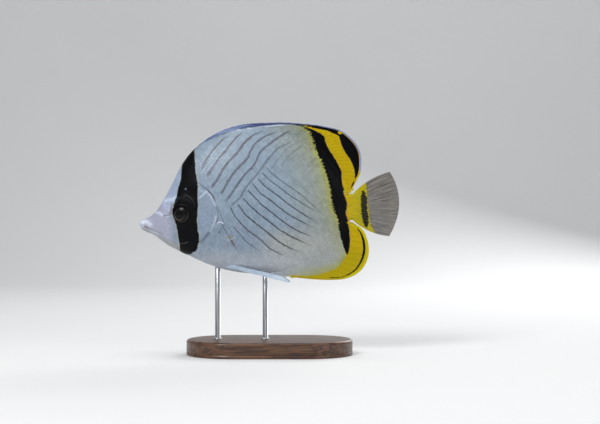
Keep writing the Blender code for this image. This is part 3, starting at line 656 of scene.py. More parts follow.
def markings(s, h):
    """All that the materials of skin, scales and upright fins read, at places of the side view."""
    s, h = np.asarray(s, float), np.asarray(h, float)
    edge_top, _ = from_line(s, h, dorsal_margin)
    edge_low, _ = from_line(s, h, anal_margin)
    before, behind = s - rear_band_front(h), s - rear_band_rear(h)
    eye = least(s - eye_band_front(h), eye_band_rear(h) - s, h + 18.1 - 0.07 * (s - 28.4) ** 2)
    band = least(0.94 * before, -0.94 * behind, h + 19.0)
    seam = seam_width(s, h)
    outer = least(0.93 * (s - outer_black_front(h)), edge_top - seam - 0.3, h - 24.6, s - 110)
    strip = 2 * np.interp(s, [84, 88, 93.4, 98.3, 103, 108, 112.7, 117],
                          [0, 0.3, 0.55, 0.62, 0.85, 0.85, 1.3, 1.6])
    strip = np.where((s > 84) & (h > 40), seam + strip - edge_top, -9)
    away, place = from_line(s, h, REAR_NOTCH)
    notch = np.interp(place, np.arange(4), [0.1, 0.55, 0.5, 0.2]) - away
    away, place = from_line(s, h, anal_black)
    anal = np.interp(place, np.arange(len(anal_black)), anal_black_half) - away
    black = np.maximum.reduce([eye, band, np.maximum(outer, strip), anal, notch])
    black = np.minimum(black, 0.9 * np.hypot((s - 115.8) / 1.3, (h - 52.4) / 0.9) - 0.9)
    # A small gap in the black above the eye lets the pale ground show through: a painted highlight.
    black = np.minimum(black, np.hypot(s - 27.1, h - 19.5) - 0.35)
    under = yellow_top(s) - h
    yellow = np.maximum(np.where(h > -16, 0.94 * behind, -9), np.where(s > 82, 0.8 * under, -9))
    front_row, along = front_rows(s, h)
    front_dark = line_depth(front_row, along, FRONT_DARK, front_starts, front_ends, 1.2, 2.4, 7)
    rear_row, along = rear_rows(s, h)
    rear_dark = line_depth(rear_row, along, REAR_DARK, rear_starts, rear_ends, 0.6, 1.6, 13)
    rust = np.exp(-(((behind - 0.15) / 0.35) ** 2)) * smooth((h + 18) / 4)
    rust *= 0.4 + 0.6 * np.exp(-(((h - 4) / 9) ** 2))
    ragged = 3.0 * smooth((h + 22) / 30) + 3.5 * smooth((h - 40) / 10)
    ragged = 0.45 + ragged * np.exp(-((before / 3) ** 2))
    stalk = smooth((s - 119) / 3) * smooth((h + 3) / 3) * smooth((20 - h) / 3)
    lemon = np.maximum(stalk, smooth((-h - 10) / 10))
    # A painted highlight: a thin pale line just under the blue strip of the spiny part, laid as silver into
    # the ground colour.
    pale = 0.75 * np.exp(-(((edge_top - strip_width(s) - 0.5) / 0.36) ** 2))
    pale *= smooth((s - 49) / 6) * smooth((87 - s) / 6) * smooth((h - 30) / 6)
    fibres = 0.42 * smooth((s - 78) / 14) * smooth((h - 26) / 14) * smooth(-before / 3)
    return {"tint": blend(tint_of(s, h), SILVER, pale), "lemon": lemon, "fibres": fibres, "black": black,
            "yellow": yellow, "front_row": front_row, "front_dark": front_dark, "rear_row": rear_row,
            "rear_dark": rear_dark, "rust": rust, "ragged": ragged, "edge": np.minimum(edge_top, edge_low)}


print("each point can hold", ", ".join(markings([50.0], [0.0])))

# %% [markdown]
# ## A shader group for the markings
# Skin, scales and fins must show one pattern that runs on from piece to piece, so the pattern is one node
# group that each of their materials holds. It reads the distances that the meshes carry, roughens them with
# a little noise, as each scale is coloured a bit differently, and cuts them off. Towards the tail the ground
# also gets fine dark fibres, and the yellow turns lemon at the stalk and rusty along the black band.


# %% Reading, noise and groups by short calls
def read(tree, name):
    """A number that the mesh holds at each point."""
    return add(tree, "Attribute", attribute_name=name).outputs["Fac"]


def read_colour(tree, name):
    return add(tree, "Attribute", attribute_name=name).outputs["Color"]


def wavering(tree, place, scale, reach):
    """A noise that swings round zero, as far as reach."""
    return times(tree, minus(tree, noise(tree, place, scale), 0.5), reach)


def stretched(tree, place, scale):
    """Places with their own scale along each axis, so that a noise is drawn out along the smallest."""
    return add(tree, "Mapping", {"Vector": place, "Scale": scale}).outputs["Vector"]


def leaning(tree, place, angle):
    """Places turned about the fish's sideways axis."""
    return add(tree, "Mapping", {"Vector": place, "Rotation": (0.0, angle, 0.0)}).outputs["Vector"]


def two_tones(tree, value, low, high, first, second):
    """The first colour where value is under low, and the second where it is over high."""
    return mix(tree, ramp(tree, value, low, high), tone(*first), tone(*second))


def new_group(name, inputs, outputs):
    """A node group with its named sockets, each given as (name, kind), and its entry and exit."""
    made = bpy.data.node_groups.new(name, "ShaderNodeTree")
    for way, sockets in (("INPUT", inputs), ("OUTPUT", outputs)):
        for socket, kind in sockets:
            made.interface.new_socket(socket, in_out=way, socket_type="NodeSocket" + kind)
    return made, made.nodes.new("NodeGroupInput"), made.nodes.new("NodeGroupOutput")


def place_group(tree, group):
    made = tree.nodes.new("ShaderNodeGroup")
    made.node_tree = group
    return made


# %% Group: fish markings
def line_mask(tree, row, dark, spacing, half, place):
    """How dark a thin line is, from the row number and the line's own strength."""
    moved = plus(tree, read(tree, row), wavering(tree, place, 420.0, 0.10))
    apart = calc(tree, "ABSOLUTE", minus(tree, calc(tree, "FRACT", plus(tree, moved, 0.5)), 0.5))
    apart = times(tree, apart, spacing)
    swell = times(tree, ramp(tree, noise(tree, place, 800.0), 0.35, 0.65, 0.75, 1.2), half)
    inside = minus(tree, swell, apart)
    return times(tree, ramp(tree, inside, -0.16, 0.14), read(tree, dark), clamp=True)


WHITE = (1, 1, 1, 1)
pattern, entry, leave = new_group(
    "fish markings", (("Edge roughness", "Float"), ("Mottling", "Float")),
    (("Color", "Color"), ("Black", "Float"), ("Depth of colour", "Float")))
place = object_place(pattern)
hairs = noise(pattern, stretched(pattern, leaning(pattern, place, 0.3), (280.0, 300.0, 2200.0)), 1.0, 1.0)
uneven = plus(pattern, wavering(pattern, place, 650.0, entry.outputs["Edge roughness"]),
              times(pattern, minus(pattern, hairs, 0.5), read(pattern, "ragged")))
black = ramp(pattern, plus(pattern, read(pattern, "black"), uneven), -0.14, 0.16)
yellow = ramp(pattern, plus(pattern, read(pattern, "yellow"), uneven), -0.5, 0.6)
clouds = ramp(pattern, noise(pattern, place, 260.0, 4.0), 0.3, 0.7)
ground = mix(pattern, times(pattern, clouds, entry.outputs["Mottling"]), read_colour(pattern, "tint"), WHITE,
             "SOFT_LIGHT")
front_line = line_mask(pattern, "front_row", "front_dark", 5.4, 0.66, place)
rear_line = line_mask(pattern, "rear_row", "rear_dark", 5.0, 0.39, place)
ground = mix(pattern, times(pattern, front_line, 0.8), ground, tone(78, 78, 88))
ground = mix(pattern, times(pattern, rear_line, 0.85), ground, tone(50, 50, 58))
risen = stretched(pattern, leaning(pattern, place, 0.62), (70.0, 100.0, 800.0))
fibres = times(pattern, ramp(pattern, noise(pattern, risen, 1.0, 1.0), 0.52, 0.68), read(pattern, "fibres"))
ground = mix(pattern, fibres, ground, tone(84, 88, 90))
fine = noise(pattern, place, 1500.0, 2.0)
gold = two_tones(pattern, fine, 0.3, 0.7, (182, 156, 0), (200, 172, 0))
gold = mix(pattern, times(pattern, read(pattern, "lemon"), 0.85), gold, tone(176, 157, 0))
gold = mix(pattern, times(pattern, read(pattern, "rust"), 0.85), gold, tone(204, 100, 0))
ink = two_tones(pattern, fine, 0.35, 0.7, (5, 5, 7), (11, 12, 15))
deep = calc(pattern, "MAXIMUM", times(pattern, black, 0.65), times(pattern, yellow, 0.35))
wire(pattern, leave, Color=mix(pattern, black, mix(pattern, yellow, ground, gold), ink), Black=black,
     Depth_of_colour=deep)
print("markings group holds", len(pattern.nodes), "nodes")


def painted(tree, roughness_of_edges, mottling):
    """The markings group placed in a material."""
    made = place_group(tree, pattern)
    made.inputs["Edge roughness"].default_value = roughness_of_edges
    made.inputs["Mottling"].default_value = mottling
    return made


# %% [markdown]
# ## Skin
# Under the scales the fish has one continuous skin. Here it is a single tube of rings from the lips to the
# root of the tail. Its columns bend with the rear edge of the gill cover, so that this sharp step falls on a
# line of the mesh. The mouth, nostrils, eye sockets and the creases of the cheek are pressed in along the
# surface's own direction, which keeps them even where the snout turns round.
# A shader reflects a few per cent of the light even where it is black, and in a bright studio that turns
# black skin grey and deep yellow pale. A metal reflects only its own colour, so the markings also give a mask
# that leads part way into Metallic.

# %% Relief of the head
CREASES = [
    ([(150, 228.5), (156, 231), (161, 233.4), (165, 235)], -0.14, 0.30),
    ([(181, 244), (185, 243), (189, 241.4)], -0.20, 0.32),
    ([(199, 198), (202, 195.5), (205, 193.6), (209, 192)], 0.22, 0.45),
    ([(216.5, 220.5), (214.5, 227), (210, 232), (205, 237), (200.5, 242), (195, 247)], 0.30, 0.50),
    ([(216.5, 222), (214.8, 228.5), (210.4, 233.8), (205.6, 238.6), (201, 243.6)], -0.28, 0.35),
    ([(198, 183), (203, 187), (208, 190)], -0.25, 0.40),
    ([(203, 205), (205.5, 214), (205, 224), (201, 232), (195, 238)], -0.12, 0.45),
    ([(174, 207), (176, 200), (180, 196.4), (184, 195), (188.5, 196.5), (192.5, 200), (195.3, 206),
      (196, 212)], 0.22, 0.50),
    ([(163, 203), (168, 207), (171, 212)], 0.18, 0.9),
    ([(159, 213), (165, 216.5), (170.5, 217)], 0.16, 0.5)]


def relief(s, h):
    """Height of the skin's own features over the smooth body, in millimetres."""
    share = gill_share(h)
    edge = gill_edge(share)
    window = 1 / (1 + np.exp((share - 0.66) / 0.03)) * smooth(share / 0.05)
    cover = 0.5 * np.exp(-((np.minimum(s - edge, 0) / 6) ** 2)) * (s <= edge + 1e-6)
    behind = np.maximum(s - edge, 0)
    cover = cover - 0.22 * np.exp(-(((behind - 0.35) / 0.4) ** 2)) * (s > edge + 1e-6)
    height = window * cover
    away = np.hypot(s - EYE[0], h - EYE[1])
    height = height - 0.5 * (1 - smooth((away - 5.3) / 0.9)) - 2.4 * (1 - smooth((away - 4.2) / 0.8))
    pad, _ = from_line(s, h, np.array([(47.2, -0.6), (46.4, -5.6)]))
    height = height + 0.55 * np.exp(-((pad / 2.6) ** 4))
    corner = smooth((MOUTH_CORNER[0] + 0.5 - s) / 1.2)
    height = height - 0.5 * corner * np.exp(-(((h - mouth_line(s)) / 0.17) ** 2))
    for spot_s, spot_h in NOSTRILS:
        ring = np.hypot(s - spot_s, h - spot_h)
        height = height - 0.6 * np.exp(-((ring / 0.42) ** 4)) + 0.12 * np.exp(-(((ring - 0.8) / 0.28) ** 2))
    for points, depth, width in CREASES:
        gap = from_traced(s, h, points)
        height = height + depth * np.exp(-((gap / width) ** 2))
    return height


def coat_depth(s):
    """How far the skin lies under the solids, to leave room for the scales."""
    return np.interp(s, [0, 12, 24, 40, 120, 128], [0.02, 0.05, 0.12, 0.20, 0.20, 0.15])


print("eye socket", round(float(-relief(EYE[:1], EYE[1:])[0]), 1), "mm deep,", len(CREASES), "creases")


# %% Values, maps and outward faces by short calls
def note(made, **values):
    """Keeps a number or a colour at each point of the mesh, for its material to read."""
    count = len(made.data.vertices)
    for name, value in values.items():
        value = np.asarray(value, np.float32).reshape(count, -1)
        kind = "FLOAT" if value.shape[1] == 1 else "FLOAT_COLOR"
        if kind == "FLOAT_COLOR":
            value = np.column_stack([value, np.ones(count, np.float32)])
        layer = made.data.attributes.new(name, kind, "POINT")
        layer.data.foreach_set("value" if kind == "FLOAT" else "color", value.ravel())


def unwrap(made, uv):
    """Gives the mesh its map, from one (u, v) for each point."""
    corners = np.empty(len(made.data.loops), np.int32)
    made.data.loops.foreach_get("vertex_index", corners)
    layer = made.data.uv_layers.new(name="OFBake")
    layer.data.foreach_set("uv", np.asarray(uv, np.float32)[corners].ravel())


def outward(points, faces):
    """The faces, turned round if they make the closed mesh inside out."""
    corner = np.asarray(points)[faces]
    volume = sum(np.einsum("ij,ij->", corner[:, 0], np.cross(corner[:, k], corner[:, k + 1]))
                 for k in range(1, faces.shape[1] - 1))
    return faces[:, ::-1] if volume < 0 else faces


# %% Rows and columns of the skin
def spread(count, density):
    """Shares from 0 to 1 that lie closer together where density is higher."""
    fine = np.linspace(0, 1, 6001)
    middle = (fine[1:] + fine[:-1]) / 2
    steps = np.concatenate([[0], np.cumsum(density(middle))])
    return np.interp(np.linspace(0, steps[-1], count), steps, fine)


ROWS, STALK_START, STEP_WIDTH = 172, 118.6, 0.12
row_share = spread(ROWS, lambda x: (1 + 0.8 * np.exp(-(((x - 0.46) / 0.10) ** 2)))
                   / np.minimum(np.sqrt(x * (1 - x)), 0.36))
head_along = spread(158, lambda x: 1 + 2.2 * np.exp(-((x / 0.10) ** 2))
                    + 9 * np.exp(-(((x - 1) / 0.012) ** 2)) + 0.5 * np.exp(-(((x - 0.52) / 0.12) ** 2)))
torso_along = spread(74, lambda x: 1 + 12 * np.exp(-((x / 0.008) ** 2)))
stalk_along = np.linspace(0, 1, 12)
ring_share = np.concatenate([row_share, row_share[-2:0:-1]])
ring_side = np.concatenate([np.full(ROWS, -1.0), np.full(ROWS - 2, 1.0)])
gill_s = gill_edge(ring_share)
s_grid = np.concatenate([
    head_along[:, None] * gill_s,
    (gill_s + STEP_WIDTH) + torso_along[:, None] * (STALK_START - gill_s - STEP_WIDTH),
    STALK_START + stalk_along[1:, None] * (tail_root(ring_share) - STALK_START + 0.4)])
low, high = belly(s_grid[:, :1]), back(s_grid[:, ROWS - 1:ROWS])
h_grid = low + (high - low) * ring_share
print("skin grid", *s_grid.shape, "before its ends are closed")

# %% Skin mesh
from_ridge = np.minimum(np.minimum(back(s_grid), high) - h_grid, h_grid - np.maximum(belly(s_grid), low))
rim = np.where(ring_share > 0.5, back_rim(s_grid), belly_rim(s_grid))
cap = np.sqrt(np.clip(1 - (1 - np.clip(from_ridge / rim, 0, 1)) ** 2, 0, 1))
y_grid = (body_half(s_grid, h_grid) - rim * (1 - cap)) * np.where(cap < 1, np.minimum(1, cap * 1.4), 1)
nose = np.linspace(0, math.pi / 2, 10)[1:-1, None]
lip_h, tail_h = -0.55, 9.1
s_grid = np.concatenate([-0.35 * np.cos(nose) + 0 * s_grid[:1], s_grid, s_grid[-1:] + 1.6])
h_grid = np.concatenate([lip_h + (h_grid[:1] - lip_h) * np.sin(nose), h_grid,
                         tail_h + (h_grid[-1:] - tail_h) * 0.97])
y_grid = np.concatenate([y_grid[:1] * np.sin(nose), y_grid, y_grid[-1:] * 0.5])
points = np.stack([s_grid, y_grid * ring_side, h_grid], -1)
normal = np.cross(np.gradient(points, axis=0), np.roll(points, -1, axis=1) - np.roll(points, 1, axis=1))
normal /= np.maximum(np.linalg.norm(normal, axis=-1, keepdims=True), 1e-9)
normal *= np.sign(np.median(normal[60:120, 40:130, 1])) * -1
points = points + normal * (relief(s_grid, h_grid) - coat_depth(s_grid))[..., None]
columns, around = s_grid.shape
print("skin grid", columns, "columns of", around, "points")

# %% Skin material
skin_look, tree, shader = new_material("skin", Specular_IOR_Level=0.24, Coat_Roughness=0.2)
marks = painted(tree, 0.5, 0.10)
slime = ramp(tree, marks.outputs["Black"], 0.0, 1.0, 0.25, 0.01)
place = object_place(tree)
cells = add(tree, "TexVoronoi", {"Vector": place, "Scale": 1150.0, "Randomness": 0.75})
pores = times(tree, ramp(tree, cells.outputs["Distance"], 0.1, 0.75), -1.0)
height = plus(tree, pores, times(tree, noise(tree, place, 500.0), 1.2))
wet = ramp(tree, noise(tree, place, 350.0), 0.3, 0.7, 0.30, 0.46)
wire(tree, shader, Base_Color=marks.outputs["Color"], Roughness=wet, Coat_Weight=slime,
     Metallic=marks.outputs["Depth of colour"], height=height, bump=0.35, distance=0.00006)
flat = to_frame(points)
faces = outward(flat, grid_faces(columns, around, around=True))
front_end, rear_end = np.arange(around)[None], np.arange(around)[None] + (columns - 1) * around
skin = put("skin", flat, faces, outward(flat, front_end), outward(flat, rear_end), material=skin_look,
           slot="skin", stands_for=("head", "torso", "tail_stalk"))
note(skin, **markings(s_grid, h_grid))
half_v = np.where(ring_side < 0, 0.01, 0.51) + 0.48 * np.broadcast_to(ring_share, s_grid.shape)
unwrap(skin, np.stack([0.02 + 0.96 * np.clip(s_grid / 130, 0, 1), half_v], -1).reshape(-1, 2))

# %% [markdown]
# ## Folds of the head
# Wet skin catches the light on its folds: the rim of the gill cover, the lid over the eye, the flap beside
# the nostril and the shoulder of the fin's base. They are much finer than the skin's grid, so each is its own
# narrow strip that swells along a traced line and sinks into the skin at its edges. A strip takes the skin's
# colour at its edges and its own at the crest. Every crest colour is painted light: painted highlights on the
# fin's base, the nostril flap, the crease across the band and the two arches over the eye, and painted shade
# along the gill slit, under the lower edge of the gill cover and in the slit above the nostril flap. Each
# entry gives the line, half the width, the height, the crest's colour and how strongly that colour covers.

# %% Folds of the head
# The crest colours below are painted highlights and painted shade.
FOLDS = [
    ([(198.5, 183.5), (203, 187), (207.5, 190.3)], 0.3, 0.08, (88, 90, 100), 0.7),
    ([(206, 189.4), (208.4, 190.9), (211, 193.5), (213.5, 197), (215.6, 201)], 0.42, 0.10, (92, 66, 52),
     0.85),
    ([(217.4, 206), (219.6, 211.5), (222, 218), (225, 225)], 0.28, 0.06, (92, 100, 118), 0.7),
    ([(210.6, 230.6), (207, 235), (203.6, 239.2), (200.6, 242.8)], 0.34, 0.0, (108, 112, 122), 0.6),
    ([(216.4, 224.4), (217.8, 222.8), (220.2, 222), (222.6, 222.8), (224.2, 224.8)], 0.46, 0.16,
     (206, 215, 229), 0.9),
    ([(165.2, 216.4), (167.6, 216.6), (170.2, 216.5)], 0.34, 0.14, (198, 208, 226), 0.8),
    ([(165.6, 215.3), (167.6, 215.5), (169.8, 215.4)], 0.2, 0.02, (116, 106, 116), 0.7),
    ([(179.4, 243.7), (182, 243.5), (185, 243.1), (188.9, 241.2)], 0.22, 0.08, (88, 92, 100), 0.8),
    ([(174.8, 208.5), (175.4, 203), (178.2, 198.7), (182, 196.3), (186, 196), (190, 197.8), (193, 201),
      (194.6, 205.2), (194.9, 209.5)], 0.3, 0.12, (44, 47, 60), 0.8),
    ([(172.6, 210), (174.6, 207), (178, 205.4), (182, 205.5), (185.8, 206.8), (188.8, 209.2), (190, 212)],
     0.26, 0.10, (38, 42, 58), 0.8)]
FOLD_ROWS, FOLD_SUNK, FOLD_THICK = 9, 0.07, 0.15

print(len(FOLDS), "folds on each side of the head")


# %% One fold as a strip
def sheet_faces(columns, rows):
    """Faces of a closed sheet: a grid, the same grid again as its underside, and the rim between."""
    size = columns * rows
    index = np.arange(size).reshape(columns, rows)
    rim = np.concatenate([index[:-1, 0], index[-1, :-1], index[:0:-1, -1], index[0, :0:-1]])
    after = np.roll(rim, -1)
    wall = np.stack([rim, after, after + size, rim + size], -1)
    top = grid_faces(columns, rows)
    return np.concatenate([top, top[:, ::-1] + size, wall[:, ::-1]])


def skin_slopes(s, h, step):
    """How much the half thickness grows per millimetre backward, and per millimetre upward."""
    return ((body_half(s + step, h) - body_half(s - step, h)) / (2 * step),
            (body_half(s, h + step) - body_half(s, h - step)) / (2 * step))


def on_skin(s, h):
    """(half thickness, normal) of the smooth body at places of the side view."""
    slope_s, slope_h = skin_slopes(s, h, 0.25)
    normal = np.stack([-slope_s, np.ones_like(slope_s), -slope_h], -1)
    return body_half(s, h), unit(normal)


def one_fold(points, half, height, colour, strength):
    """Points, faces and colours of one strip."""
    line = traced(points)
    path = path_through(line)
    count = max(10, int(np.linalg.norm(np.diff(line, axis=0), axis=1).sum() / 0.2))
    t = np.linspace(0, 1, count)
    centre = path(t)
    way = unit(np.gradient(centre, axis=0))
    q = np.linspace(-1, 1, FOLD_ROWS)
    taper = smooth(np.minimum(t, 1 - t) * 4 + 0.1)[:, None]
    off = q[None] * half * (0.3 + 0.7 * taper)
    s = centre[:, :1] - way[:, 1:] * off
    h = centre[:, 1:] + way[:, :1] * off
    swell = (1 - q[None] ** 2) ** 1.5 * taper
    y, normal = on_skin(s, h)
    ground = np.maximum(relief(s, h), relief(s - 0.3, h)) + np.where(s > gill_line(h) + 0.5, 0.08, 0.02)
    rise = ground - FOLD_SUNK + (height + FOLD_SUNK) * swell
    top = np.stack([s, y, h], -1) + normal * rise[..., None]
    values = markings(s, h)
    # The crest takes its fold's colour from the list, a painted highlight for pale folds and painted shade for
    # dark ones; inside the black band the black is lifted so that it shows.
    share = strength * swell**0.7
    in_band = values["black"] > 0
    values["tint"] = blend(values["tint"], shade(*colour), np.where(in_band, 1, share))
    values["black"] = np.minimum(values["black"], 0.16 - 0.3 * share)
    for key in ("front_dark", "rear_dark"):
        values[key] = values[key] * (1 - share)
    for key, value in values.items():
        values[key] = np.concatenate([value.reshape(-1, *value.shape[2:])] * 2)
    both = np.concatenate([top.reshape(-1, 3), (top - normal * FOLD_THICK).reshape(-1, 3)])
    return both, sheet_faces(count, FOLD_ROWS), values


# %% Place the folds
SIDES = ((-1, "left"), (1, "right"))
strips = [one_fold(*fold) for fold in FOLDS]
starts = np.cumsum([0] + [len(strip[0]) for strip in strips])
for side, word in SIDES:
    strip_points = np.concatenate([strip[0] for strip in strips]) * (1, side, 1)
    strip_faces = [outward(strip[0] * (1, side, 1), strip[1]) + start for strip, start in zip(strips, starts)]
    made = put("head_folds_" + word, to_frame(strip_points), np.concatenate(strip_faces), material=skin_look,
               slot="skin")
    note(made, **{key: np.concatenate([strip[2][key] for strip in strips]) for key in strips[0][2]})


# %% [markdown]
# ## Scales
# The scales of this fish are large and lie in slanting rows, like tiles. The dark lines run along those rows,
# so the rows are found from the lines: two smooth fields are fitted to them, and scales sit where both
# fields reach whole steps. Each scale is a thin closed plate, rounded behind, tucked under the one in front
# and lifted at its rear edge. Plates are cut in a flat map of the flank and then laid on the body, so that
# they keep their shape where the back and belly turn round.

# %% Flat map of the flank
BODY_END, GIRTHS = 128, 361
STATIONS = np.linspace(0, BODY_END, 257)


def finned(s, upper):
    """1 where an upright fin stands on the ridge, else 0."""
    return np.where(upper, smooth((s - 33.5) / 1.5), smooth((s - 75) / 1.5))


def girth_map():
    """For each station, heights and half widths at even steps round the side, and the girth's two ends."""
    around = (1 - np.cos(np.linspace(0, math.pi, 401))) / 2
    s = STATIONS[:, None]
    h = belly(s) + (back(s) - belly(s)) * around
    upper = around > 0.5
    rim = np.where(upper, back_rim(s), belly_rim(s))
    inward = np.clip(np.minimum(back(s) - h, h - belly(s)) / rim, 0, 1)
    y = body_half(s, h) - rim * (1 - np.sqrt(1 - (1 - inward) ** 2)) * (1 - finned(s, upper))
    steps = np.hypot(np.diff(h, axis=1), np.diff(y, axis=1))
    girth = np.concatenate([np.zeros((len(s), 1)), np.cumsum(steps, axis=1)], axis=1)
    heights, halves, ends = [], [], []
    for i, station in enumerate(STATIONS):
        even = np.linspace(0, girth[i, -1], GIRTHS)
        middle = np.interp(widest(station), h[i], girth[i])
        heights.append(np.interp(even, girth[i], h[i]))
        halves.append(np.interp(even, girth[i], y[i]))
        ends.append((-middle, girth[i, -1] - middle))
    return np.array(heights), np.array(halves), np.array(ends)


map_h, map_y, map_ends = girth_map()
along_s = np.stack([np.ones_like(map_h), np.gradient(map_y, STATIONS, axis=0),
                    np.gradient(map_h, STATIONS, axis=0)], -1)
along_g = np.stack([np.zeros_like(map_h), np.gradient(map_y, axis=1), np.gradient(map_h, axis=1)], -1)
map_normal = unit(np.cross(along_g, along_s))
map_normal *= np.sign(map_normal[..., 1:2] + 1e-12)

# %% From the flat map to the body
SIDEWAYS = np.array((0.0, 1.0, 0.0))


def fin_half(over, rim):
    """Half the thickness of an upright fin, against the distance from its ridge."""
    return 0.27 + (rim - 0.31) * (1 - smooth(over / 6))


def lay(s, g):
    """Takes places of the flat map to (h, y, normal) on the fish's right side, and past a ridge onto its fin
    or, where none stands, round to the other side."""
    at = np.clip(s / BODY_END * (len(STATIONS) - 1), 0, len(STATIONS) - 1.001)
    i = at.astype(int)
    f = at - i
    low = map_ends[i, 0] * (1 - f) + map_ends[i + 1, 0] * f
    high = map_ends[i, 1] * (1 - f) + map_ends[i + 1, 1] * f
    fin = finned(s, g > 0) > 0.5
    over, under = np.maximum(g - high, 0), np.maximum(low - g, 0)
    past = over + under
    g = np.where(fin, g, np.where(g > 0, g - 2 * over, g + 2 * under))
    share = np.clip((g - low) / (high - low), 0, 1) * (GIRTHS - 1.001)
    j = share.astype(int)
    k = share - j

    def pick(table):
        across, up = (f, k) if table.ndim == 2 else (f[..., None], k[..., None])
        near = table[i, j] * (1 - up) + table[i, j + 1] * up
        far = table[i + 1, j] * (1 - up) + table[i + 1, j + 1] * up
        return near * (1 - across) + far * across

    h, y, normal = pick(map_h), pick(map_y), pick(map_normal)
    rim = np.where(g > 0, back_rim(s), belly_rim(s))
    h = h + np.where(fin, over - under, 0)
    y = np.where(fin & (past > 0), fin_half(past, rim), y)
    round_to = np.where(~fin & (past > 0), -1.0, 1.0)
    normal = normal + (SIDEWAYS - normal) * (np.clip(past / 1.5, 0, 1) * fin)[..., None]
    return h, y * round_to, unit(normal) * np.stack([np.ones_like(y), round_to, np.ones_like(y)], -1)


def girth_of(s, h):
    """The other way round: where a place of the side view lies in the flat map."""
    found = np.empty(len(s))
    for n, (x, z) in enumerate(zip(s, h)):
        i = min(int(round(x / BODY_END * (len(STATIONS) - 1))), len(STATIONS) - 1)
        found[n] = map_ends[i, 0] + np.interp(z, map_h[i], np.linspace(0, 1, GIRTHS)) * np.ptp(map_ends[i])
    return found


print("girth of one side at its tallest", round(float(np.ptp(map_ends, axis=1).max()), 1), "mm")

# %% Rows of scales from the dark lines
MIDDLE, REACH = np.array((62.0, 10.0)), 45.0


def terms(s, g):
    x, z = (s - MIDDLE[0]) / REACH, (g - MIDDLE[1]) / REACH
    return np.stack([np.ones_like(x), x, z, x * x, x * z, z * z], -1)


def fitted(lines, first):
    """A smooth field that takes the value of each line's number along it."""
    s = np.concatenate([line[:, 0] for line in lines])
    h = np.concatenate([line[:, 1] for line in lines])
    number = np.concatenate([np.full(len(line), first + n, float) for n, line in enumerate(lines)])
    rows = terms(s, girth_of(s, h))
    held = np.diag([0, 0, 0, 1.0, 1.0, 1.0])
    return np.linalg.solve(rows.T @ rows + held, rows.T @ number)


across_front = fitted(FRONT_LINES[:6], 0)
across_rear = fitted(REAR_LINES[1:], 1)


def slopes(field, s, g):
    x, z = (s - MIDDLE[0]) / REACH, (g - MIDDLE[1]) / REACH
    return ((field[1] + 2 * field[3] * x + field[4] * z) / REACH,
            (field[2] + field[4] * x + 2 * field[5] * z) / REACH)


# %% Places of the scales
def lattice(step):
    """Places of the flat map where both fields reach whole steps, with the two ways to the neighbours."""
    s, g = np.meshgrid(np.arange(22, 136, 1.5), np.arange(-52, 74, 1.5), indexing="ij")
    u, v = terms(s, g) @ across_front, terms(s, g) @ across_rear
    key = np.round(np.column_stack([u.ravel(), v.ravel()]) / step).astype(int)
    key, first = np.unique(key, axis=0, return_index=True)
    s, g = s.ravel()[first], g.ravel()[first]
    for _ in range(8):  # each round moves every place nearer to where its two fields are whole
        (us, ug), (vs, vg) = slopes(across_front, s, g), slopes(across_rear, s, g)
        miss_u = key[:, 0] * step - terms(s, g) @ across_front
        miss_v = key[:, 1] * step - terms(s, g) @ across_rear
        det = us * vg - ug * vs
        s = s + np.clip((miss_u * vg - miss_v * ug) / det, -3, 3)
        g = g + np.clip((miss_v * us - miss_u * vs) / det, -3, 3)
    (us, ug), (vs, vg) = slopes(across_front, s, g), slopes(across_rear, s, g)
    det = us * vg - ug * vs
    rise = np.stack([ug, -us], -1) / det[:, None] * step
    fall = np.stack([vg, -vs], -1) / det[:, None] * step
    keep = (np.abs(det) > 0.004) & (rise[:, 0] + fall[:, 0] > 0)
    keep &= np.hypot(miss_u, miss_v) < 0.02
    sites, rise, fall = np.column_stack([s, g])[keep], rise[keep], fall[keep]
    size = np.sqrt(np.abs(rise[:, 0] * fall[:, 1] - rise[:, 1] * fall[:, 0]))
    apart = np.linalg.norm(sites[:, None] - sites[None], axis=-1) + 99 * np.tri(len(sites))
    single = ~(apart < 0.5 * size[:, None]).any(axis=0)
    return sites[single], rise[single], fall[single], size[single] / step / 3


coarse = lattice(1 / 3)
print(len(coarse[0]), "places for large scales,", round(float(np.median(coarse[3])), 2), "mm apart")


# %% Where scales grow
def inside_of(s, h, outline):
    """Whether places lie inside a closed outline."""
    found = np.zeros(s.shape, bool)
    for (x0, z0), (x1, z1) in zip(outline, np.roll(outline, -1, axis=0)):
        crosses = (z0 > h) != (z1 > h)
        found ^= crosses & (s < (x1 - x0) * (h - z0) / (z1 - z0 + 1e-12) + x0)
    return found


ridge_s = np.linspace(117.8, 36, 90)
dorsal_outline = np.concatenate([dorsal_margin, np.column_stack([ridge_s, back(ridge_s) - 1])])
belly_s = np.linspace(117.8, 78, 60)
anal_outline = np.concatenate([anal_margin, np.column_stack([belly_s, belly(belly_s) + 1])])


# %% Which places belong to flank, fins and head
def ends_at(s):
    return np.interp(s, STATIONS, map_ends[:, 0]), np.interp(s, STATIONS, map_ends[:, 1])


def on_flank(place):
    s, g = place.T
    low, high = ends_at(s)
    h = lay(s, g)[0]
    upper = np.where(s > 34.5, high - 1.6, high + 0.2)
    lower = np.where(s > 76, low + 1.6, low - 0.2)
    return (s > gill_line(h) + 0.9) & (s < 117) & (g < upper) & (g > lower)


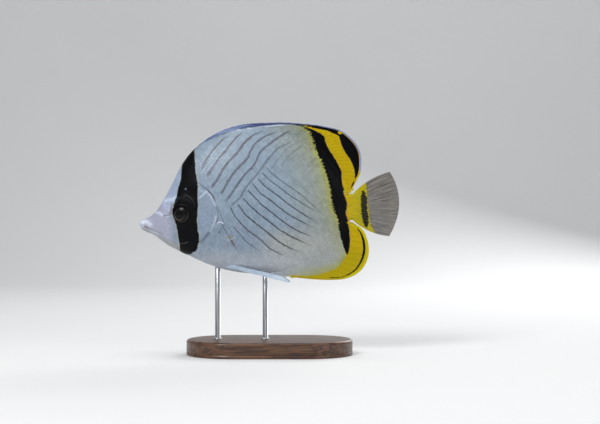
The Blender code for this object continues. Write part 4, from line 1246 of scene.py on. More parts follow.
def bare(s, h):
    """0 where scales cover the foot of an upright fin, rising to 1 where its web and rays show."""
    edge, _ = from_line(s, h, dorsal_margin, near=60)
    over, under = h - back(s), belly(s) - h
    spiny = smooth((3.0 - edge) / 0.8)
    soft = smooth(np.minimum(s - rear_band_rear(h) - 0.6, over - 3.2) / 1.2)
    dorsal = np.maximum(np.where(s < 103, spiny, 0), np.where(s > 90, soft, 0))
    limit = yellow_top(s) - 0.5 - h
    limit = np.where(h > -18, np.maximum(limit, s - rear_band_rear(h)), limit)
    return np.where(h > 10, dorsal, smooth(np.minimum(limit, under - 3.2) / 1.2))


def on_fins(place):
    s, g = place.T
    low, high = ends_at(s)
    h = lay(s, g)[0]
    dorsal = inside_of(s, h, dorsal_outline) & (g > high - 1.9) & (bare(s, h) < 0.3)
    anal = inside_of(s, h, anal_outline) & (g < low + 1.9) & (bare(s, h) < 0.3)
    stalk = (s > 116.2) & (s < 126.6) & (g < high + 0.1) & (g > low - 0.1)
    return dorsal | anal | stalk


def on_head(place):
    s, g = place.T
    low, high = ends_at(s)
    h = lay(s, g)[0]
    clear = np.hypot(s - EYE[0], h - EYE[1]) > 6.1
    for spot_s, spot_h in NOSTRILS:
        clear &= np.hypot(s - spot_s, h - spot_h) > 1.7
    inside = (g < high + 0.1) & (g > low - 0.1)
    return inside & clear & (s < gill_line(h) - 0.7) & (s > 14 + 0.12 * np.abs(h - 4))


# %% Choose the scales
medium, small = lattice(1 / 4), lattice(1 / 5)
large_here = on_flank(coarse[0]) & (coarse[3] < 2.0)
medium_here = on_flank(medium[0]) & (medium[3] >= 2.0) & (medium[3] < 2.6)
small_here = on_flank(small[0]) & (small[3] >= 2.6)
flank = tuple(np.concatenate([coarse[k][large_here], medium[k][medium_here], small[k][small_here]])
              for k in range(3))
kept = on_fins(small[0])
fins = tuple(small[k][kept] for k in range(3))
rows_s, rows_g = np.meshgrid(np.arange(12, 47, 0.82), np.arange(-40, 52, 1.36), indexing="ij")
rows_g = rows_g + 0.68 * (np.arange(rows_s.shape[0])[:, None] % 2)
sites = np.column_stack([rows_s.ravel(), rows_g.ravel()])
sites = sites[on_head(sites)]
head = (sites, np.tile((0.82, 0.68), (len(sites), 1)), np.tile((0.82, -0.68), (len(sites), 1)))
print("scales on one side:", len(flank[0]), "flank,", len(fins[0]), "fins and stalk,", len(head[0]), "head")

# %% Scale plates
PLATE_LONG, PLATE_WIDE = 1.24, 1.16


def plates(growth, steps, lift, thick):
    """Thin closed plates for one side. growth is (places, way up the row, way down the row)."""
    centre, up, down = growth
    count, (rows, columns) = len(centre), steps
    rear, side = (up + down) / 2, (up - down) / 2
    r, q = np.meshgrid(np.linspace(-1, 1, rows), np.linspace(-1, 1, columns), indexing="ij")
    width = (1 - np.clip(r / 1.04, 0, 1) ** 2.1) ** 0.62
    q = q * width * (1 - 0.10 * np.clip(-r - 0.4, 0, 1))
    jitter = 1 + random.uniform(-0.05, 0.05, (count, 1, 1))
    long_way, wide_way = (r * PLATE_LONG - 0.12) * jitter, q * PLATE_WIDE * jitter
    s = centre[:, 0, None, None] + rear[:, 0, None, None] * long_way + side[:, 0, None, None] * wide_way
    g = centre[:, 1, None, None] + rear[:, 1, None, None] * long_way + side[:, 1, None, None] * wide_way
    h, y, normal = lay(s, g)
    tilt = random.uniform(-0.012, 0.012, (count, 1, 1)) * q
    rise = -0.10 + lift * (0.5 + 0.5 * r) ** 1.15 * (1 + random.uniform(-0.15, 0.15, (count, 1, 1)))
    rise = rise - 0.035 * q**2 + tilt - 0.6 * thick * np.maximum(r, np.abs(q) * 0.9) ** 14
    rise = rise + np.maximum(np.where(s < 52, relief(np.minimum(s, 53), h), 0), -0.3)
    base = np.stack([s, y, h], -1)
    top, bottom = base + normal * rise[..., None], base + normal * (rise - thick)[..., None]
    points = np.concatenate([top.reshape(count, -1, 3), bottom.reshape(count, -1, 3)], axis=1)
    return points, s, h, r + 0 * s, q + 0 * s


def plate_faces(rows, columns):
    """Faces of one plate: its top, its underside and the rim between."""
    index = np.arange(rows * columns).reshape(rows, columns)
    top = grid_faces(rows, columns)
    rim = np.concatenate([index[0, :-1], index[:-1, -1], index[-1, :0:-1], index[:0:-1, 0]])
    after = np.roll(rim, -1)
    wall = np.stack([rim, after, after + rows * columns, rim + rows * columns], -1)
    return np.concatenate([top, top[:, ::-1] + rows * columns, wall[:, ::-1]])


# %% Scale material
scale_look, tree, shader = new_material("scales", Specular_IOR_Level=0.24, Coat_Roughness=0.2)
marks = painted(tree, 0.25, 0.12)
slime = ramp(tree, marks.outputs["Black"], 0.0, 1.0, 0.22, 0.01)
rear_way, side_way, own = read(tree, "scale_rear"), read(tree, "scale_side"), read(tree, "scale_own")
rings = plus(tree, times(tree, rear_way, rear_way), times(tree, side_way, side_way))
rings = calc(tree, "SINE", times(tree, rings, 46.0))
combs = calc(tree, "SINE", times(tree, side_way, 40.0))
combs = times(tree, combs, ramp(tree, rear_way, 0.1, 0.8))
height = plus(tree, times(tree, rings, 0.5), combs)
# Each scale gets its own random tone, and a painted highlight along its lifted rear edge.
lip = ramp(tree, rear_way, 0.55, 1.0)
bright = plus(tree, times(tree, own, 0.30), times(tree, lip, 0.26))
colour = mix(tree, bright, marks.outputs["Color"], WHITE, "SOFT_LIGHT")
wet = ramp(tree, noise(tree, object_place(tree), 700.0), 0.3, 0.7, 0.28, 0.44)
wire(tree, shader, Base_Color=colour, Roughness=wet, Coat_Weight=slime,
     Metallic=marks.outputs["Depth of colour"], height=height, bump=0.25, distance=0.00003)
print("scale material holds", len(tree.nodes), "nodes")

# %% Growing scales
MAP_LOW, MAP_HIGH, MAP_LONG, PATCH = -55.0, 78.0, 136, 0.0015


def grow(name, growth, steps, lift, thick, parts, slot="skin"):
    """Scales of both sides, in pieces that stay small enough each."""
    order = np.argsort(growth[0][:, 0])
    growth = tuple(part[order] for part in growth)
    for side, word in SIDES:
        for number, chosen in enumerate(np.array_split(np.arange(len(order)), parts)):
            some = tuple(part[chosen] for part in growth)
            points, s, h, r, q = plates(some, steps, lift, thick)
            count, size = len(chosen), steps[0] * steps[1]
            faces = (plate_faces(*steps)[None] + (2 * size * np.arange(count))[:, None, None]).reshape(-1, 4)
            flat = to_frame(points * (1, side, 1))
            made = put(f"{name}_{word}_{number + 1}", flat, outward(flat, faces), material=scale_look,
                       slot=slot)
            r, q = r.reshape(count, -1), q.reshape(count, -1)
            values = markings(s.reshape(count, -1), h.reshape(count, -1))
            middle = markings(some[0][:, 0], lay(some[0][:, 0], some[0][:, 1])[0])
            for key in ("black", "yellow"):
                values[key] = 0.55 * values[key] + 0.45 * middle[key][:, None]
            own = random.uniform(0, 1, (count, 1)) + np.zeros((count, size))
            values.update(scale_rear=r, scale_side=q, scale_own=own)
            note(made, **{key: np.concatenate([value, value], axis=1) for key, value in values.items()})
            root_u = 0.02 + 0.96 * np.clip(some[0][:, :1] / MAP_LONG, 0, 1)
            root_v = (0.01 if side < 0 else 0.51) + 0.48 * (some[0][:, 1:] - MAP_LOW) / (MAP_HIGH - MAP_LOW)
            uv = np.stack([root_u + PATCH * r, root_v + PATCH * q], -1)
            unwrap(made, np.concatenate([uv, uv], axis=1).reshape(-1, 2))


grow("scales_flank", flank, (9, 7), 0.19, 0.05, 3)
grow("scales_fins", fins, (6, 5), 0.15, 0.04, 1, slot="fin_yellow")
grow("scales_head", head, (6, 5), 0.125, 0.04, 1)

# %% [markdown]
# ## Fins
# A fin is a clear web over rays. Spines are single, while soft rays fork twice on their way to the edge, and
# that fork is what makes a fin look real. Each fin is a closed sheet whose grid follows its rays. The
# thickness is a formula: the web, plus a small ridge wherever a branch passes.


# %% Fin sheets
def branches(ray, along, soft):
    """Height of the ridges, 0 to 1. Spines are single, and soft rays fork twice."""
    off = ray - np.round(ray)
    fork = 0.17 * smooth((along - 0.30) / 0.5)
    twig = 0.085 * smooth((along - 0.62) / 0.35)
    width = 0.13 - 0.07 * along
    found = 0
    for turn in (-fork - twig, -fork + twig, fork - twig, fork + twig):
        found = np.maximum(found, np.exp(-(((off - turn) / width) ** 2)))
    return np.where(soft, found, np.exp(-((off / 0.12) ** 2)))


def fin_sheet(name, roots, tips, half, normal, ray, look, slot, stands_for=(), first_soft=0, rows=44,
              inward=2.0, ridge=0.16, bow=None, point=0.0, side=1, shown=None):
    """One fin as a closed sheet. ray is the row of places across it, counted in rays; roots and tips give its
    two ends for a share of that row, and half its half thickness for (share, place, share of the way out)."""
    ray = ray[:, None]
    share = ray / ray.max()
    root, tip = roots(share[:, 0])[:, None], tips(share[:, 0])[:, None]
    length = np.linalg.norm(tip - root, axis=-1)
    start = -inward / length
    row_share = spread(rows, lambda x: 1 + 1.5 * np.exp(-(((x - 1) / 0.06) ** 2)))
    out = start + (1 - start) * row_share
    place = root + (tip - root) * out[..., None]
    way = (tip - root) / length[..., None]
    if bow is not None:
        bend = np.stack([-way[..., 2], 0 * way[..., 1], way[..., 0]], -1)
        place = place + bend * (bow(share) * 4 * out * (1 - out))[..., None]
    soft = ray >= first_soft
    raised = branches(ray, np.clip(out, 0, 1), soft)
    if shown is not None:
        raised = raised * shown(place[..., 0], place[..., 2])
    beyond = point * np.exp(-(((ray - np.round(ray)) / 0.16) ** 2)) * smooth((out - 0.9) / 0.1) * ~soft
    place = place + way * beyond[..., None]
    ribs = np.where(soft, 1, 1.6) * ridge * raised * (1 - 0.55 * np.clip(out, 0, 1))
    thick = (half(share, place, out) + ribs) * (1 - 0.8 * smooth((out - 0.82) / 0.18))
    near, far = place + thick[..., None] * normal, place - thick[..., None] * normal
    points = np.concatenate([near.reshape(-1, 3), far.reshape(-1, 3)]) * (1, side, 1)
    flat = to_frame(points)
    made = put(name, flat, outward(flat, sheet_faces(*out.shape)), material=look, slot=slot,
               stands_for=stands_for)

    def both(value):
        return np.concatenate([np.broadcast_to(value, out.shape).ravel()] * 2)

    note(made, ray=both(ray), along=both(out), raised=both(raised), margin=both((1 - out) * length))
    uv = np.stack([0.02 + 0.96 * share + 0 * out, 0.01 + 0.47 * row_share + 0 * out], -1).reshape(-1, 2)
    unwrap(made, np.concatenate([uv, uv + (0, 0.5)]))
    return made, points[:, 0], points[:, 2]


# %% [markdown]
# The upright fins carry the fish's pattern to their edges: yellow, then a black stripe, then a pale blue
# seam. Each seam is told by its distance from the fin's edge, which the mesh carries. The rays show as
# faint darker and lighter streaks, shared by all fins through one group.

# %% Group: streaks of the rays
streaks, entry, leave = new_group(
    "ray streaks", (("Color", "Color"), ("Strength", "Float")),
    (("Color", "Color"), ("Ray", "Float"), ("Height", "Float")))
strength = entry.outputs["Strength"]
ray_mask = ramp(streaks, read(streaks, "raised"), 0.25, 0.9)
joints = calc(streaks, "SINE", times(streaks, read(streaks, "margin"), 9.0))
joints = times(streaks, times(streaks, joints, ray_mask), 0.3)
paler = mix(streaks, times(streaks, ray_mask, strength), entry.outputs["Color"], WHITE, "SOFT_LIGHT")
between_rays = times(streaks, minus(streaks, 1.0, ray_mask), times(streaks, strength, 0.6))
grain = times(streaks, noise(streaks, object_place(streaks), 1400.0, 2.0), 0.6)
wire(streaks, leave, Color=mix(streaks, between_rays, paler, (0, 0, 0, 1), "SOFT_LIGHT"), Ray=ray_mask,
     Height=plus(streaks, grain, joints))


def streaked(tree, colour, strength):
    """The streaks group placed in a material."""
    made = place_group(tree, streaks)
    tree.links.new(colour, made.inputs["Color"])
    made.inputs["Strength"].default_value = strength
    return made


print("ray streaks group holds", len(streaks.nodes), "nodes")

# %% Material of the upright fins
upright_look, tree, shader = new_material("upright_fins", Specular_IOR_Level=0.16, Roughness=0.42,
                                          Coat_Roughness=0.25)
marks = painted(tree, 0.4, 0.2)
marked = streaked(tree, marks.outputs["Color"], 0.13)
place = object_place(tree)
waver = wavering(tree, place, 900.0, 0.25)
seam_edge = plus(tree, read(tree, "seam_edge"), waver)
strip_edge = plus(tree, read(tree, "strip_edge"), times(tree, waver, 2.0))
seam = times(tree, ramp(tree, seam_edge, 0.07, -0.07), read(tree, "seam"))
gilt = times(tree, ramp(tree, seam_edge, 0.0, 0.1), ramp(tree, seam_edge, 0.4, 0.3))
gilt = times(tree, gilt, read(tree, "gilt"))
blue = times(tree, ramp(tree, strip_edge, 0.12, -0.12), read(tree, "blue_strip"))
# A painted highlight on the fin itself: a thin pale line just under the blue strip of the spiny part.
white = times(tree, ramp(tree, strip_edge, -0.05, 0.1), ramp(tree, strip_edge, 0.5, 0.3))
white = times(tree, white, read(tree, "white_line"))
brushed = noise(tree, stretched(tree, place, (150.0, 400.0, 1300.0)), 1.0)
blues = two_tones(tree, brushed, 0.4, 0.62, (66, 78, 122), (128, 146, 186))
blues = mix(tree, read(tree, "navy"), blues, tone(34, 38, 82))
colour = mix(tree, times(tree, gilt, 0.8), marked.outputs["Color"], tone(190, 156, 30))
colour = mix(tree, blue, colour, blues)
colour = mix(tree, times(tree, white, 0.8), colour, tone(176, 190, 204))
colour = mix(tree, seam, colour, read_colour(tree, "seam_tint"))
slime = ramp(tree, marks.outputs["Black"], 0.0, 1.0, 0.08, 0.01)
wire(tree, shader, Base_Color=colour, Coat_Weight=slime, Metallic=marks.outputs["Depth of colour"],
     height=marked.outputs["Height"], bump=0.2, distance=0.00005)
print("upright fins' material holds", len(tree.nodes), "nodes")


# %% Upright fins
def on_middle(s, h):
    """Points (s, y, h) on the fish's middle plane."""
    return np.column_stack([s, 0 * s, h])


def upright_fin(name, profile, rim_of, root_s, tips, ray, stands_for, first_soft, below):
    """A fin on the ridge of the back or of the belly."""
    count = len(root_s)

    def roots(share):
        s = np.interp(share * (count - 1), np.arange(count), root_s)
        return on_middle(s, profile(s))

    def upright_tips(share):
        return on_middle(*tips(share).T)

    def half(share, place, out):
        s, h = place[..., 0], place[..., 2]
        return fin_half(np.maximum(below * (profile(s) - h), 0), rim_of(s))

    made, s, h = fin_sheet(name, roots, upright_tips, half, SIDEWAYS, ray, upright_look, "fin_yellow",
                           stands_for, first_soft=first_soft, point=0.35, shown=bare)
    note(made, **markings(s, h))
    return made, s, h


dorsal_roots = np.concatenate([np.linspace(35.2, 90.0, 13), np.linspace(90.6, 118.3, 23)])
dorsal_rays = np.concatenate([np.linspace(0, 12, 12 * 14 + 1), np.linspace(12, 35, 23 * 10 + 1)[1:]])
dorsal, s, h = upright_fin("dorsal_fin", back, back_rim, dorsal_roots, dorsal_tips, dorsal_rays,
                           ("dorsal_fin_spiny", "dorsal_fin_soft"), 12.5, -1)
edge, _ = from_line(s, h, dorsal_margin)
pale, gold = shade(146, 156, 196), shade(196, 166, 8)
note(dorsal, seam=np.interp(s, [64, 76, 100, 108], [0.0, 0.45, 0.7, 0.95]), seam_edge=edge - seam_width(s, h),
     gilt=smooth((s - 112) / 6) * smooth((h - 26) / 4), blue_strip=1 - smooth((s - 90) / 8),
     strip_edge=edge - strip_width(s), white_line=smooth((s - 50) / 8) * smooth((86 - s) / 6),
     navy=0.85 * smooth((s - 58) / 20), seam_tint=pale + (gold - pale) * smooth((31 - h) / 2.5)[:, None])
anal_rays = np.linspace(0, 21, 211)
anal, s, h = upright_fin("anal_fin_web", belly, belly_rim, np.linspace(77.2, 118.3, 22), anal_tips, anal_rays,
                         ("anal_fin",), 2.5, 1)
edge, _ = from_line(s, h, anal_margin)
lemon = np.tile(shade(204, 192, 4), (len(s), 1))
note(anal, seam=0.7 * smooth((s - 112) / 12), seam_edge=edge - 1.5, gilt=0 * s, blue_strip=0 * s,
     strip_edge=edge, white_line=0 * s, navy=0 * s, seam_tint=lemon)


# %% [markdown]
# ## Tail fin
# The tail fin is clear, with a yellow root, a dark bar and a thin yellow line. Its web lets light through and
# its rays are denser, so transparency follows the same ridges as the shape.

# %% Shape of the tail fin
tail_path = path_through([(144.6, 29.6), (147.0, 25.4), (149.1, 19.4), (150, 12.1), (149.4, 5.6),
                          (147.4, -1.2), (144.3, -7.6)])
tail_low, tail_high = float(belly(122.9)), float(back(122.6))


def tail_roots(share):
    return on_middle(tail_root(1 - share), tail_low + (tail_high - tail_low) * (1 - share))


def tail_tips(share):
    return on_middle(*tail_path(share).T)


def tail_half(share, place, out):
    root = tail_roots(share[:, 0])
    full = np.maximum(body_half(root[:, 0], root[:, 2]) - 0.06, 0.5)[:, None]
    return 0.24 + (full - 0.24) * (1 - smooth(np.clip(out, 0, 1) / 0.36)) - 0.3 * smooth(-out * 9)


print("tail fin", round(float(np.ptp(tail_path(np.linspace(0, 1, 50))[:, 1])), 1), "mm tall")

# %% Tail fin
tail_look, tree, shader = new_material("tail_fin", Specular_IOR_Level=0.2, Roughness=0.4, Coat_Weight=0.06,
                                       Coat_Roughness=0.2)
place = object_place(tree)
ragged = minus(tree, noise(tree, stretched(tree, place, (260.0, 1300.0, 1300.0)), 1.0), 0.5)
bar = ramp(tree, plus(tree, read(tree, "tail_bar"), times(tree, ragged, 3.4)), -0.2, 0.3)
gold = ramp(tree, plus(tree, read(tree, "tail_gold"), ragged), -0.8, 0.5)
fan = add(tree, "CombineXYZ", {"X": times(tree, read(tree, "along"), 2.2),
                               "Y": times(tree, read(tree, "ray"), 3.1)}).outputs["Vector"]
clear = two_tones(tree, noise(tree, fan, 1.0), 0.40, 0.60, (36, 33, 32), (130, 124, 116))
clear = mix(tree, ramp(tree, noise(tree, place, 160.0), 0.4, 0.65, 0.0, 0.5), clear, tone(112, 104, 92))
marked = streaked(tree, clear, 0.35)
ray = marked.outputs["Ray"]
colour = mix(tree, ramp(tree, ray, 0.2, 0.9, 0.0, 0.55), marked.outputs["Color"], tone(150, 145, 139))
gilt = two_tones(tree, noise(tree, place, 1200.0), 0.3, 0.7, (178, 166, 0), (160, 148, 0))
colour = mix(tree, gold, colour, gilt)
held_back = times(tree, bar, ramp(tree, ray, 0.3, 1.0, 1.0, 0.86))
colour = mix(tree, held_back, colour, tone(9, 9, 2))
solid = times(tree, calc(tree, "MAXIMUM", gold, bar), 0.5)
alpha = plus(tree, ramp(tree, ray, 0.1, 0.8, 0.62, 0.84), solid, clamp=True)
wire(tree, shader, Base_Color=colour, Alpha=alpha, height=marked.outputs["Height"], bump=0.35,
     distance=0.00006)
tail, s, h = fin_sheet("caudal_fin_web", tail_roots, tail_tips, tail_half, SIDEWAYS, np.linspace(0, 16, 193),
                       tail_look, "fin_clear", ("caudal_fin",), rows=64, inward=2.4, ridge=0.17,
                       bow=lambda share: 2.0 * (1 - 2 * share) ** 3)
bar_s = np.interp(h, [-3, -1.2, 7.5, 16.2, 19.1], [131.3, 130.9, 129.8, 129.3, 129.1])
bar_half = np.interp(h, [-3.8, -1.5, 2, 15, 17.8, 20.2], [-0.5, 1.1, 2.0, 1.9, 1.0, -0.5])
gold_s = np.interp(h, [-6, -1.2, 7.5, 20.3], [136, 133.3, 132.2, 130.9])
note(tail, tail_bar=bar_half - np.abs(s - bar_s), tail_gold=gold_s - s)

# %% [markdown]
# ## Paired fins
# The pectoral fins are so clear that little more than their rays shows. The pelvic fins are narrow blades,
# pale and folded back under the belly. Both are built like the tail, with their roots set a little into the
# skin, so that no gap shows when they are seen from behind.


# %% Shape of a paired fin
def paired_fin(name, root_line, tip_line, rays, look, side, ridge, thick_root):
    """A fin whose root lies on the body's side and whose tips are (s, h, y) points clear of it."""
    root_path, tip_path = path_through(root_line), path_through(tip_line, by_length=False)

    def roots(share):
        at = root_path(share)
        return np.column_stack([at[:, 0], body_half(at[:, 0], at[:, 1]) + 0.1, at[:, 1]])

    def tips(share):
        at = tip_path(share)
        return np.column_stack([at[:, 0], at[:, 2], at[:, 1]])

    middle = np.array([0.5])
    across = np.cross((tips(np.array([1.0])) - tips(np.array([0.0])))[0], (tips(middle) - roots(middle))[0])

    def half(share, place, out):
        return 0.2 + (thick_root - 0.2) * (1 - smooth(np.clip(out, 0, 1) / 0.4)) + 0 * share

    row = np.linspace(0, rays - 1, (rays - 1) * 10 + 1)
    fin_sheet(f"{name}_web", roots, tips, half, across / np.linalg.norm(across), row, look, "fin_clear",
              (name,), inward=1.2, ridge=ridge, side=side)


# %% Pectoral fins
pectoral_look, tree, shader = new_material("pectoral_fins", Specular_IOR_Level=0.3, Roughness=0.3,
                                           Coat_Roughness=0.15)
base = two_tones(tree, noise(tree, object_place(tree), 500.0), 0.35, 0.65, (150, 160, 178), (176, 184, 198))
marked = streaked(tree, base, 0.4)
along = read(tree, "along")
first_ray = ramp(tree, read(tree, "ray"), 0.45, 0.12)
brown_spot = times(tree, ramp(tree, along, 0.6, 0.66), ramp(tree, along, 0.82, 0.76))
first_colour = mix(tree, brown_spot, tone(100, 106, 120), tone(84, 60, 44))
colour = mix(tree, first_ray, marked.outputs["Color"], first_colour)
seen = ramp(tree, marked.outputs["Ray"], 0.2, 0.9, 0.03, 0.09)
first_seen = times(tree, first_ray, ramp(tree, brown_spot, 0.0, 1.0, 0.6, 0.95))
seen = calc(tree, "MAXIMUM", seen, first_seen)
alpha = calc(tree, "MAXIMUM", seen, ramp(tree, along, 0.08, 0.01, 0.0, 0.6))
wire(tree, shader, Base_Color=colour, Alpha=alpha, height=marked.outputs["Height"], bump=0.3,
     distance=0.00005)
PECTORAL_ROOT = [(47.6, -0.2), (46.2, -5.8)]
PECTORAL_TIPS = [(56.6, -14.8, 21.0), (56.4, -18.2, 23.4), (54.2, -20.5, 25.0), (51.0, -21.3, 25.8),
                 (47.8, -20.0, 25.4), (45.6, -16.8, 23.6), (44.8, -12.6, 20.6)]
print("pectoral rays reach", max(out for _, _, out in PECTORAL_TIPS), "mm out from the middle")

# %% Pelvic fins
pelvic_look, tree, shader = new_material("pelvic_fins", Roughness=0.35, Coat_Weight=0.2, Coat_Roughness=0.2)
base = two_tones(tree, noise(tree, object_place(tree), 160.0), 0.35, 0.65, (188, 208, 228), (212, 226, 240))
marked = streaked(tree, base, 0.3)
wire(tree, shader, Base_Color=marked.outputs["Color"], height=marked.outputs["Height"], bump=0.2,
     distance=0.00006, Alpha=ramp(tree, marked.outputs["Ray"], 0.1, 0.9, 0.8, 1.0))
PELVIC_ROOT = [(50.8, -25.7), (54.4, -23.9)]
PELVIC_TIPS = [(76.0, -31.7, 6.6), (86.4, -34.3, 7.4), (85.5, -32.9, 7.4), (84.4, -31.9, 7.2),
               (83.1, -31.1, 7.0), (81.6, -30.3, 7.0)]
print("pelvic rays reach", max(out for _, _, out in PELVIC_TIPS), "mm out from the middle")

# %% Place the paired fins
for side, word in SIDES:
    paired_fin("pectoral_fin_" + word, PECTORAL_ROOT, PECTORAL_TIPS, 14, pectoral_look, side, 0.12, 0.4)
    paired_fin("pelvic_fin_" + word, PELVIC_ROOT, PELVIC_TIPS, 6, pelvic_look, side, 0.22, 0.7)


# %% [markdown]
# ## Eyes
# The eye is dark, almost lost in the black band, with a thin bronze ring round the pupil and a second round
# the iris. It is turned about the direction it looks in, and a clear coat on the shader stands for the wet
# cornea. A soft lid of skin rolls down to meet it, made as its own ring because the skin's grid is too
# coarse for so tight a fold.

# %% Material of the eye
eye_look, tree, shader = new_material("eye", Specular_IOR_Level=0.1, Roughness=0.25, Coat_Weight=0.25,
                                      Coat_Roughness=0.05, Coat_IOR=1.34)
place = object_place(tree)
flecks = noise(tree, place, 1600.0, 4.0)
waver = wavering(tree, place, 500.0, 0.16)
pupil_out = plus(tree, read(tree, "from_pupil"), waver)
rim_out = plus(tree, read(tree, "from_middle"), waver)
iris = two_tones(tree, flecks, 0.35, 0.75, (6, 6, 8), (24, 22, 26))
inner_ring = times(tree, ramp(tree, pupil_out, 2.74, 2.88), ramp(tree, pupil_out, 3.1, 2.95))
outer_ring = times(tree, ramp(tree, rim_out, 4.28, 4.42), ramp(tree, rim_out, 4.68, 4.54))
bronze = two_tones(tree, flecks, 0.3, 0.7, (116, 104, 80), (164, 152, 124))
# The bronze of both rings is the eye's own colour; how strongly it shows, most at the lower front of the inner
# ring and the lower rear of the outer, is painted light.
glow = calc(tree, "MAXIMUM", times(tree, inner_ring, read(tree, "inner_glow")),
            times(tree, outer_ring, read(tree, "outer_glow")), clamp=True)
colour = mix(tree, glow, iris, bronze)
colour = mix(tree, ramp(tree, pupil_out, 2.82, 2.68), colour, (0.003, 0.003, 0.004, 1))
wire(tree, shader, Base_Color=colour, Metallic=times(tree, glow, 0.6), height=flecks, bump=0.08,
     distance=0.00003)
print("eye material holds", len(tree.nodes), "nodes")

# %% Shape of an eye
TURNS = 96
EYE_ANGLE = np.linspace(0, 2 * math.pi, TURNS, endpoint=False)[None]
EYE_STEPS = np.concatenate([np.linspace(0, 1, 40)[1:], np.linspace(1, 1.6, 8)[1:]])
PUPIL_SHIFT = np.array((-0.75, 0.0, -0.35))


def eye_axis(side):
    """The direction square to the skin at the eye."""
    slope_s, slope_h = skin_slopes(*EYE, 2.5)
    return Vector((-float(slope_s), side, -float(slope_h))).normalized()


def eyeball(side, word):
    """A dome turned about the eye's axis, closed by a shallower bowl behind."""
    axis = eye_axis(side)
    centre = np.array((EYE[0], side * float(body_half(*EYE)), EYE[1])) - np.array(axis) * EYE_SUNK
    turn_to = np.array(axis.to_track_quat("Z", "Y").to_matrix())
    quarter = math.pi / 2
    lean = EYE_STEPS[:, None] * quarter
    radius = EYE_RADIUS * np.sin(np.minimum(lean, quarter)) * np.where(lean > quarter, np.sin(lean), 1)
    rise = np.where(lean <= quarter, EYE_DOME, 3.4) * np.cos(lean)
    local = np.stack([radius * np.cos(EYE_ANGLE), radius * np.sin(EYE_ANGLE), rise + 0 * EYE_ANGLE], -1)
    world_points = np.vstack([local.reshape(-1, 3) @ turn_to.T + centre, centre + np.array(axis) * EYE_DOME])
    rings, tip = len(EYE_STEPS), len(EYE_STEPS) * TURNS
    cap = np.stack([np.full(TURNS, tip), np.roll(np.arange(TURNS), -1), np.arange(TURNS)], -1)
    bottom = np.arange(TURNS)[None] + (rings - 1) * TURNS
    flat = to_frame(world_points)
    eye = put(f"eye_{word}_ball", flat, outward(flat, grid_faces(rings, TURNS, around=True)),
              outward(flat, cap), outward(flat, bottom), material=eye_look, slot="eye",
              stands_for=("eye_" + word,))
    # Painted light on the rings: strongest at the lower front of the inner ring and the lower rear of the
    # outer.
    seen_at = np.arctan2(world_points[:, 2] - EYE[1], world_points[:, 0] - EYE[0])
    lower_front = 0.5 + 0.5 * np.cos(seen_at - math.radians(-130))
    lower_rear = 0.5 + 0.5 * np.cos(seen_at - math.radians(-45))
    from_pupil = ((world_points - centre) @ turn_to - PUPIL_SHIFT @ turn_to)[:, :2]
    note(eye, from_middle=np.append((radius + 0 * EYE_ANGLE).ravel(), 0),
         from_pupil=np.hypot(*from_pupil.T), inner_glow=0.06 + 0.8 * lower_front**3,
         outer_glow=0.03 + 0.4 * lower_rear**4)


# %% Shape of a lid
LID_R = np.concatenate([np.linspace(4.4, 5.05, 8), np.linspace(5.15, 5.6, 7), np.linspace(5.75, 6.4, 5)])
LID_HIGH = curve_through([(4.4, -1.75), (4.6, -1.25), (4.8, -0.66), (5.0, -0.12), (5.2, 0.04), (5.4, 0.05),
                          (5.7, 0.0), (6.0, -0.12), (6.4, -0.45)])(LID_R)


def eyelid(side, word):
    """A ring of skin that rolls from the cheek down to the eye."""
    s = EYE[0] + LID_R[:, None] * np.cos(EYE_ANGLE)
    h = EYE[1] + LID_R[:, None] * np.sin(EYE_ANGLE)
    normal = lay(s, girth_of(s.ravel(), h.ravel()).reshape(s.shape))[2]
    lid = np.stack([s, body_half(s, h), h], -1) + normal * (LID_HIGH[:, None] - 0.08)[..., None]
    both = np.concatenate([lid.reshape(-1, 3), (lid - normal * 0.25).reshape(-1, 3)]) * (1, side, 1)
    size = LID_R.size * TURNS
    top = grid_faces(LID_R.size, TURNS, around=True)
    edges = np.arange(TURNS), np.arange(TURNS) + size - TURNS
    inner, outer = [np.stack([a, np.roll(a, -1), np.roll(a, -1) + size, a + size], -1) for a in edges]
    faces = np.concatenate([top, top[:, ::-1] + size, inner[:, ::-1], outer])
    flat = to_frame(both)
    made = put(f"eyelid_{word}", flat, outward(flat, faces), material=skin_look, slot="skin")
    note(made, **markings(both[:, 0], both[:, 2]))


# %% Eyes and lids
for side, word in SIDES:
    eyeball(side, word)
    eyelid(side, word)


# %% [markdown]
# ## Stand
# The stand only has to carry the fish, so it is plain: an oval of dark oiled wood and two brushed rods. Wood
# is drawn as long bands of noise, stretched along the board, with darker pores. The base is a stack of ovals
# that shrink towards the rounded top edge.

# %% Oiled wood
wood_look, tree, shader = new_material("oiled_wood", Roughness=0.45, Coat_Weight=0.12, Coat_Roughness=0.3)
place = object_place(tree)
grain = noise(tree, stretched(tree, place, (9.0, 90.0, 110.0)), 1.6, 6.0, 0.6)
bands = calc(tree, "SINE", times(tree, grain, 40.0))
pores = ramp(tree, noise(tree, stretched(tree, place, (60.0, 1400.0, 1400.0)), 1.0, 2.0), 0.55, 0.72)
colour = two_tones(tree, bands, -1.0, 1.0, (66, 42, 28), (104, 70, 46))
colour = mix(tree, times(tree, pores, 0.7), colour, tone(36, 22, 14))
wire(tree, shader, Base_Color=colour, Roughness=ramp(tree, pores, 0.0, 1.0, 0.36, 0.6),
     height=times(tree, pores, -1.0), bump=0.4, distance=0.0001)
print("oiled wood holds", len(tree.nodes), "nodes")


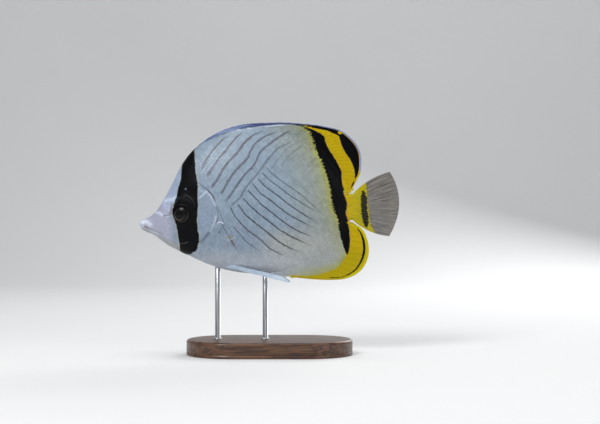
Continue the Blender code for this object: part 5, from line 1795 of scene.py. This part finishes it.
# %% Base
def stacked(name, rings, material, slot, stands_for):
    """A closed piece from rings of points in millimetres, the lowest first."""
    points, count = np.concatenate(rings) * 0.001, len(rings[0])
    faces = outward(points, grid_faces(len(rings), count, around=True))
    bottom = np.arange(count)[None]
    top = bottom + (len(rings) - 1) * count
    put(name, points, faces, bottom[:, ::-1], top, material=material, slot=slot, stands_for=(stands_for,))


def circle(count):
    """The cosines and sines of even steps round a circle."""
    turn = np.linspace(0, 2 * math.pi, count + 1)[:-1]
    return np.cos(turn), np.sin(turn)


low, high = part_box("stand_base")
length, width, tall = (high - low) * 1000
profile = [(0.8, 0.0), (0.25, 0.12), (0.0, 0.5), (0.0, 1.6), (0.35, 1.85), (0.35, 2.1), (0.0, 2.35)]
for a in np.linspace(0, math.pi / 2, 10):
    profile.append((1.5 - 1.5 * math.cos(a), tall - 1.5 + 1.5 * math.sin(a)))
rings = []
for inset, z in profile:
    x, y = np.array(circle(160)) * (width / 2 - inset)
    x = x + np.sign(np.round(x, 6)) * (length - width) / 2
    rings.append(np.column_stack([x, y, np.full(len(x), z)]))
stacked("stand_base_wood", rings, wood_look, "base_wood", "stand_base")

# %% Rods
steel_look, tree, shader = new_material("brushed_steel", Metallic=1.0, Roughness=0.3)
brushing = noise(tree, stretched(tree, object_place(tree), (3000.0, 3000.0, 60.0)), 1.0)
wire(tree, shader, Base_Color=mix(tree, brushing, tone(186, 187, 190), tone(214, 215, 217)),
     Roughness=ramp(tree, brushing, 0.2, 0.8, 0.24, 0.42), height=brushing, bump=0.15, distance=0.00003)
for name in ("stand_rod_front", "stand_rod_rear"):
    low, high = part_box(name)
    middle, r = (low + high) / 2 * 1000, (high.x - low.x) * 500
    foot, end, collar = low.z * 1000, high.z * 1000, tall + 0.7
    profile = [(r - 0.2, foot), (r, foot + 0.2), (r, tall - 0.2), (r + 0.9, tall - 0.2),
               (r + 0.9, collar - 0.25), (r + 0.65, collar), (r, collar), (r, end - 0.2), (r - 0.2, end)]
    x, y = circle(48)
    rings = [np.column_stack([middle.x + q * x, middle.y + q * y, np.full(len(x), z)]) for q, z in profile]
    stacked(name + "_steel", rings, steel_look, "rod_steel", name)


# %% The end
bpy.context.view_layer.update()
